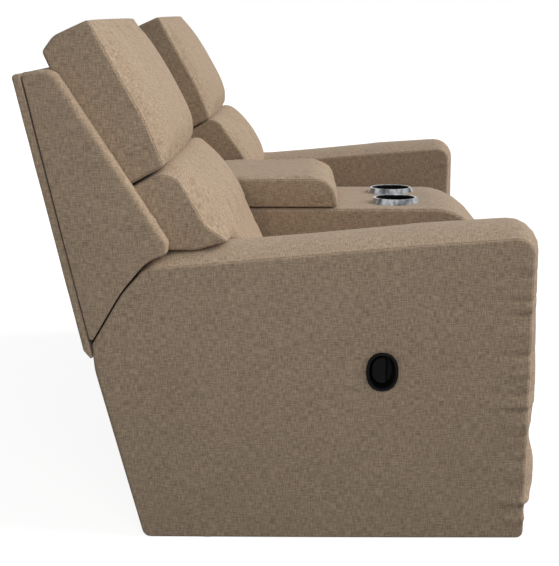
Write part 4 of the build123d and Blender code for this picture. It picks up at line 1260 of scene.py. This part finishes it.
def build_lid(settings):
    """Padded lid with a round nose and a pocket for its board."""
    cloth = settings.cloth
    low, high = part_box("lid_pad")
    shape = outline(lid_corners(low, high), cloth.fine_spacing)
    bow = by_station(shape, (0, 0.002), (0.3, 0.0), (2, 0.0), (2.5, 0.001), (3, 0.003), (3.4, 0.004),
                     (4, 0.002))
    loose = by_station(shape, (0, 0.0), (1.8, 0.0), (2.2, 1.0), (3.4, 1.0), (4, 0.0))
    roll = by_station(shape, (0, 0.003), (1, 0.003), (2, cloth.edge_roll), (3.3, cloth.edge_roll),
                      (4, 0.003))
    tight = by_station(shape, (0, 0.1), (1, 0.1), (2, 1.0), (3.4, 1.0), (4, 0.1))
    folds = puckers(LID_SEED, shape, tight, count=26, height=0.0014, width=0.009, reach=0.04)
    cover = upholstered(shape, (low.x, high.x), roll, bow, cloth.fine_spacing, cloth.seam_depth * 0.4,
                        Panel(crown=0.002, folds=folds), rings=11)
    piece = stuffed("lid_upholstery", cloth, cover, loose, share=0.25)
    gap = 0.0005
    beyond = 0.03
    board_low, board_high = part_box("lid_board")
    pocket = block_cover(board_low - Vector((gap, gap, beyond)), board_high + Vector((gap, beyond, gap)),
                         0.002, cloth.spacing)
    cut_out(piece, [ring_mesh("board pocket", pocket)])
    finished(piece, "console_lid", "upholstery", settings, ["lid_pad"])


def cup_places():
    """Middles of the two cup holders."""
    low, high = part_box("cup_rims")
    reach = (high.y - low.y) / 2
    return [(low.x + reach, low.y + reach), (high.x - reach, low.y + reach)]


def build_cup_holders(settings):
    """Chrome rims, each a rounded cone, over black wells with a round foot."""
    low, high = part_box("cup_rims")
    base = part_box("cup_wells")[0].z
    foot = low.z - 0.003
    crest = high.z
    rim_inner, rim_crown, rim_foot = 0.0505, 0.0555, 0.0645
    rim = outline([(rim_inner, foot, 0.0005), (rim_foot, foot, 0.0012), (rim_crown, crest, 0.002),
                   (rim_inner, crest, 0.0014)], 0.002)
    floor = base + 0.0025
    lip = crest - 0.0025
    middle, wall, neck = 0.001, 0.052, 0.0503
    well = outline([(middle, base, 0.0003), (wall, base, 0.004), (wall, foot, 0.0005), (neck, foot, 0.0004),
                    (neck, lip, 0.0006), (0.049, lip, 0.0004), (0.0475, floor, 0.009),
                    (middle, floor, 0.0003)], 0.003)
    for side, (x, y) in zip(SIDES, cup_places()):
        stands_in = side == "right"
        piece = ring_mesh(f"{side}_cup_rim", revolved(rim.points, x, y, ROUND_STEPS), closed=True)
        finished(piece, "base", "chrome", settings, ["cup_rims"] if stands_in else [])
        piece = ring_mesh(f"{side}_cup_well", revolved(well.points, x, y, WELL_STEPS), closed=True)
        finished(piece, "base", "black_plastic", settings, ["cup_wells"] if stands_in else [])


# Handles and aprons

def handle_cup(low, high, face):
    """Oval cup with a bevelled rim: a section of (inset, depth) from the oval's edge goes round it."""
    half = ((high.y - low.y) / 2, (high.z - low.z) / 2)
    middle = ((low.y + high.y) / 2, (low.z + high.z) / 2)
    back, floor, core = 0.035, 0.0305, 0.03
    section = outline([(core, back, 0.001), (0.0095, back, 0.003), (0.006, 0.0, 0.0006), (0.0, 0.0, 0.0006),
                       (0.0016, -0.0036, 0.0014), (0.0062, -0.0042, 0.002), (0.009, 0.027, 0.006),
                       (core, floor, 0.001)], 0.002)
    angle = np.linspace(0.0, 2.0 * np.pi, ROUND_STEPS, endpoint=False)
    ovals = np.stack([hub_oval(angle, half[0] - inset, half[1] - inset) for inset in section.points[:, 0]])
    depth = np.tile((face + section.points[:, 1])[:, None, None], (1, len(angle), 1))
    return {"grid": np.concatenate((depth, ovals + np.array(middle)), -1),
            "caps": ((face + back, *middle), (face + floor, *middle))}


def handle_paddle(low, high, height):
    """Paddle with a straight rear edge, round front corners and a dished face."""
    half = 0.027
    rear, front = low.y, high.y - 0.001
    foot, head = height - half, height + half
    shape = outline([(rear, foot, 0.004), (front, foot, 0.021), (front, head, 0.021), (rear, head, 0.004)],
                    0.002)
    return upholstered(shape, (low.x, high.x), 0.0018, 0.0, 0.001, low=Panel(crown=-0.0012),
                       high=PLAIN_PANEL, rings=8)


def build_handles(settings):
    """Oval handle cups and the paddles in them."""
    low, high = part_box("right_handle_cup")
    cup = handle_cup(low, high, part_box("right_arm_cover")[0].x)
    paddle = handle_paddle(*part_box("right_release_lever"), (low.z + high.z) / 2)
    for side, sign in SIDES.items():
        piece = ring_mesh(f"{side}_handle_bezel", mirrored(cup, sign))
        finished(piece, "base", "black_plastic", settings, [f"{side}_handle_cup"])
        piece = ring_mesh(f"{side}_handle_paddle", mirrored(paddle, sign))
        finished(piece, f"{side}_lever", "black_plastic", settings, [f"{side}_release_lever"])


def build_aprons(settings):
    """Cloth panels that close the base at the rear."""
    cloth = settings.cloth
    low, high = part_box("rear_aprons")
    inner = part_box("console_cover")[0].x
    thick = 0.012
    shape = outline([(low.y, low.z, 0.003), (low.y + thick, low.z, 0.003), (high.y, high.z, 0.004),
                     (high.y - thick, high.z, 0.004)], cloth.spacing)
    bow = by_station(shape, (0, 0.0), (1, 0.0), (1.5, 0.002), (2, 0.0), (4, 0.0))
    cover = upholstered(shape, (low.x, inner), 0.002, bow, cloth.spacing, fullness=FLAT_ACROSS)
    for side, sign in SIDES.items():
        piece = ring_mesh(f"{side}_rear_apron", mirrored(cover, sign))
        nodes = ["rear_aprons"] if side == "right" else []
        finished(piece, "base", "upholstery", settings, nodes)


def finish_frame(settings):
    """Gives each shown node of the frame the finish of its slot."""
    slots = {part["node"]: part["material_slot"] for part in frame["record"]["subparts"]}
    for name, node in frame["nodes"].items():
        if node.hide_render:
            continue
        node.data.materials.clear()
        node.data.materials.append(material_for(slots[name], settings))


# Stage

def floor_material():
    """White floor for the eye, with the object's shadow; other light sees a quiet grey."""
    material = bpy.data.materials.new("pale floor")
    material.use_nodes = True
    tree = material.node_tree
    tree.nodes.clear()
    output = tree.nodes.new("ShaderNodeOutputMaterial")
    shown, quiet = (tree.nodes.new("ShaderNodeBsdfDiffuse") for _ in range(2))
    shown.inputs["Color"].default_value = (0.4, 0.4, 0.4, 1.0)
    quiet.inputs["Color"].default_value = (0.15, 0.15, 0.15, 1.0)
    glow = tree.nodes.new("ShaderNodeEmission")
    glow.inputs["Strength"].default_value = 0.86
    both = tree.nodes.new("ShaderNodeAddShader")
    tree.links.new(shown.outputs[0], both.inputs[0])
    tree.links.new(glow.outputs[0], both.inputs[1])
    choice = tree.nodes.new("ShaderNodeMixShader")
    tree.links.new(seen_by_eye(tree), choice.inputs[0])
    tree.links.new(quiet.outputs[0], choice.inputs[1])
    tree.links.new(both.outputs[0], choice.inputs[2])
    tree.links.new(choice.outputs[0], output.inputs["Surface"])
    return material


def seen_by_eye(tree):
    """1 for rays from the camera, and for those by way of metal or glass."""
    path = tree.nodes.new("ShaderNodeLightPath")
    eye = maths(tree, "MAXIMUM", path.outputs["Is Camera Ray"], path.outputs["Is Glossy Ray"])
    return maths(tree, "MAXIMUM", eye, path.outputs["Is Transmission Ray"])


def build_floor(studio):
    """Flat floor: a square grid far wider than the object."""
    rows = studio.floor_rows
    line = np.linspace(-studio.floor_reach, studio.floor_reach, rows + 1)
    across, deep = np.meshgrid(line, line)
    points = np.stack((across.ravel(), deep.ravel(), np.zeros(across.size)), 1)
    step = np.arange(rows)
    first = (step[:, None] * (rows + 1) + step[None, :]).ravel()
    faces = np.stack((first, first + 1, first + rows + 2, first + rows + 1), 1)
    mesh = bpy.data.meshes.new("floor")
    mesh.from_pydata(points.tolist(), [], faces.tolist())
    mesh.materials.append(floor_material())
    floor = placed("floor", mesh)


def build_world(studio):
    """White surroundings to look at, and an even fill light."""
    world = bpy.data.worlds.new("studio")
    bpy.context.scene.world = world
    world.use_nodes = True
    tree = world.node_tree
    background = tree.nodes["Background"]
    share = seen_by_eye(tree)
    colour = mixed(tree, "MIX", share, (*studio.daylight_colour, 1.0), (1.0, 1.0, 1.0, 1.0))
    tree.links.new(colour, background.inputs["Color"])
    strength = scaled(tree, share, 1.0 - studio.daylight, studio.daylight)
    tree.links.new(strength, background.inputs["Strength"])


def turned(name, data, toward, up):
    """Object for a light or a camera that looks a given way."""
    holder = placed(name, data)
    holder.rotation_mode = "QUATERNION"
    holder.rotation_quaternion = Vector(toward).to_track_quat("-Z", up)
    return holder


def build_light(studio):
    """Wide soft key from the front and above."""
    light = bpy.data.lights.new("key", "SUN")
    light.energy = studio.key
    light.angle = studio.key_softness
    light.color = studio.lamp_colour
    lamp = turned("key", light, studio.key_toward, "Y")
    lamp.visible_glossy = False


def build_side_light(studio):
    """Broad soft light beside the camera, for the near side."""
    light = bpy.data.lights.new("side", "AREA")
    light.shape = "RECTANGLE"
    light.size, light.size_y = studio.side_size
    light.energy = studio.side
    light.color = studio.lamp_colour
    lamp = turned("side", light, studio.side_toward, "Z")
    lamp.location = studio.side_place
    lamp.visible_camera = False


def build_camera(studio):
    """Camera at the photograph's place: it looks along +X, a little down and a little to the rear."""
    camera = bpy.data.cameras.new("camera")
    camera.sensor_width = 36.0
    camera.lens = studio.lens
    camera.shift_x = (PHOTO_SIZE[0] / 2 - studio.optical_centre) / max(PHOTO_SIZE)
    camera.clip_end = 200.0
    pitch, yaw = studio.camera_pitch, studio.camera_yaw
    ahead = (np.cos(pitch) * np.cos(yaw), np.cos(pitch) * np.sin(yaw), -np.sin(pitch))
    viewer = turned("camera", camera, ahead, "Y")
    viewer.location = studio.camera_place
    bpy.context.scene.camera = viewer


def build_stage(settings):
    """Floor, surroundings, light and camera."""
    bpy.context.scene.view_settings.view_transform = "Standard"
    build_floor(settings.studio)
    build_world(settings.studio)
    build_light(settings.studio)
    build_side_light(settings.studio)
    build_camera(settings.studio)


# Operators and panel

class LOVESEAT_OT_arms(bpy.types.Operator):
    """Make the padded arms"""

    bl_idname = "loveseat.arms"
    bl_label = "Arms"

    def execute(self, context):
        build_arms(context.scene.loveseat)
        return {"FINISHED"}


class LOVESEAT_OT_backs(bpy.types.Operator):
    """Make the wings and the outside backs"""

    bl_idname = "loveseat.backs"
    bl_label = "Backs"

    def execute(self, context):
        build_wings(context.scene.loveseat)
        build_outside_backs(context.scene.loveseat)
        return {"FINISHED"}


class LOVESEAT_OT_cushions(bpy.types.Operator):
    """Make the head and lumbar cushions"""

    bl_idname = "loveseat.cushions"
    bl_label = "Back cushions"

    def execute(self, context):
        build_cushions(context.scene.loveseat)
        return {"FINISHED"}


class LOVESEAT_OT_seats(bpy.types.Operator):
    """Make the seat cushions and the footrest pads"""

    bl_idname = "loveseat.seats"
    bl_label = "Seats and footrests"

    def execute(self, context):
        build_seats(context.scene.loveseat)
        build_footrests(context.scene.loveseat)
        return {"FINISHED"}


class LOVESEAT_OT_console(bpy.types.Operator):
    """Make the console, its lid and the cup holders"""

    bl_idname = "loveseat.console"
    bl_label = "Console"

    def execute(self, context):
        build_console(context.scene.loveseat)
        build_lid(context.scene.loveseat)
        build_cup_holders(context.scene.loveseat)
        return {"FINISHED"}


class LOVESEAT_OT_handles(bpy.types.Operator):
    """Make the release handles"""

    bl_idname = "loveseat.handles"
    bl_label = "Handles"

    def execute(self, context):
        build_handles(context.scene.loveseat)
        return {"FINISHED"}


class LOVESEAT_OT_base(bpy.types.Operator):
    """Make the rear aprons and finish the frame and the mechanism"""

    bl_idname = "loveseat.base"
    bl_label = "Base and mechanism"

    def execute(self, context):
        build_aprons(context.scene.loveseat)
        finish_frame(context.scene.loveseat)
        return {"FINISHED"}


class LOVESEAT_OT_stage(bpy.types.Operator):
    """Make the floor, the light and the camera"""

    bl_idname = "loveseat.stage"
    bl_label = "Stage"

    def execute(self, context):
        build_stage(context.scene.loveseat)
        return {"FINISHED"}


OPERATORS = (LOVESEAT_OT_arms, LOVESEAT_OT_backs, LOVESEAT_OT_cushions, LOVESEAT_OT_seats,
             LOVESEAT_OT_console, LOVESEAT_OT_handles, LOVESEAT_OT_base, LOVESEAT_OT_stage)


class LOVESEAT_PT_panel(bpy.types.Panel):
    """Lists the loveseat's groups of pieces and its main settings"""

    bl_idname = "LOVESEAT_PT_panel"
    bl_label = "Reclining loveseat"
    bl_space_type = "VIEW_3D"
    bl_region_type = "UI"
    bl_category = "Loveseat"

    def draw(self, context):
        settings = context.scene.loveseat
        for operator in OPERATORS:
            self.layout.operator(operator.bl_idname)
        for name in ("colour", "seam_depth", "pressure", "swell_limit"):
            self.layout.prop(settings.cloth, name)
        for name in ("daylight", "key"):
            self.layout.prop(settings.studio, name)


CLASSES = (LoveseatCloth, LoveseatHardware, LoveseatStudio, LoveseatSettings, *OPERATORS, LOVESEAT_PT_panel)


def register():
    """Adds the classes and the scene's settings."""
    for kind in CLASSES:
        bpy.utils.register_class(kind)
    bpy.types.Scene.loveseat = PointerProperty(type=LoveseatSettings)


def unregister():
    """Takes the classes and the settings away."""
    del bpy.types.Scene.loveseat
    for kind in reversed(CLASSES):
        bpy.utils.unregister_class(kind)


def main():
    """Builds every group."""
    register()
    bpy.ops.loveseat.arms()
    bpy.ops.loveseat.backs()
    bpy.ops.loveseat.cushions()
    bpy.ops.loveseat.seats()
    bpy.ops.loveseat.console()
    bpy.ops.loveseat.handles()
    bpy.ops.loveseat.base()
    bpy.ops.loveseat.stage()


if __name__ == "__main__":
    main()
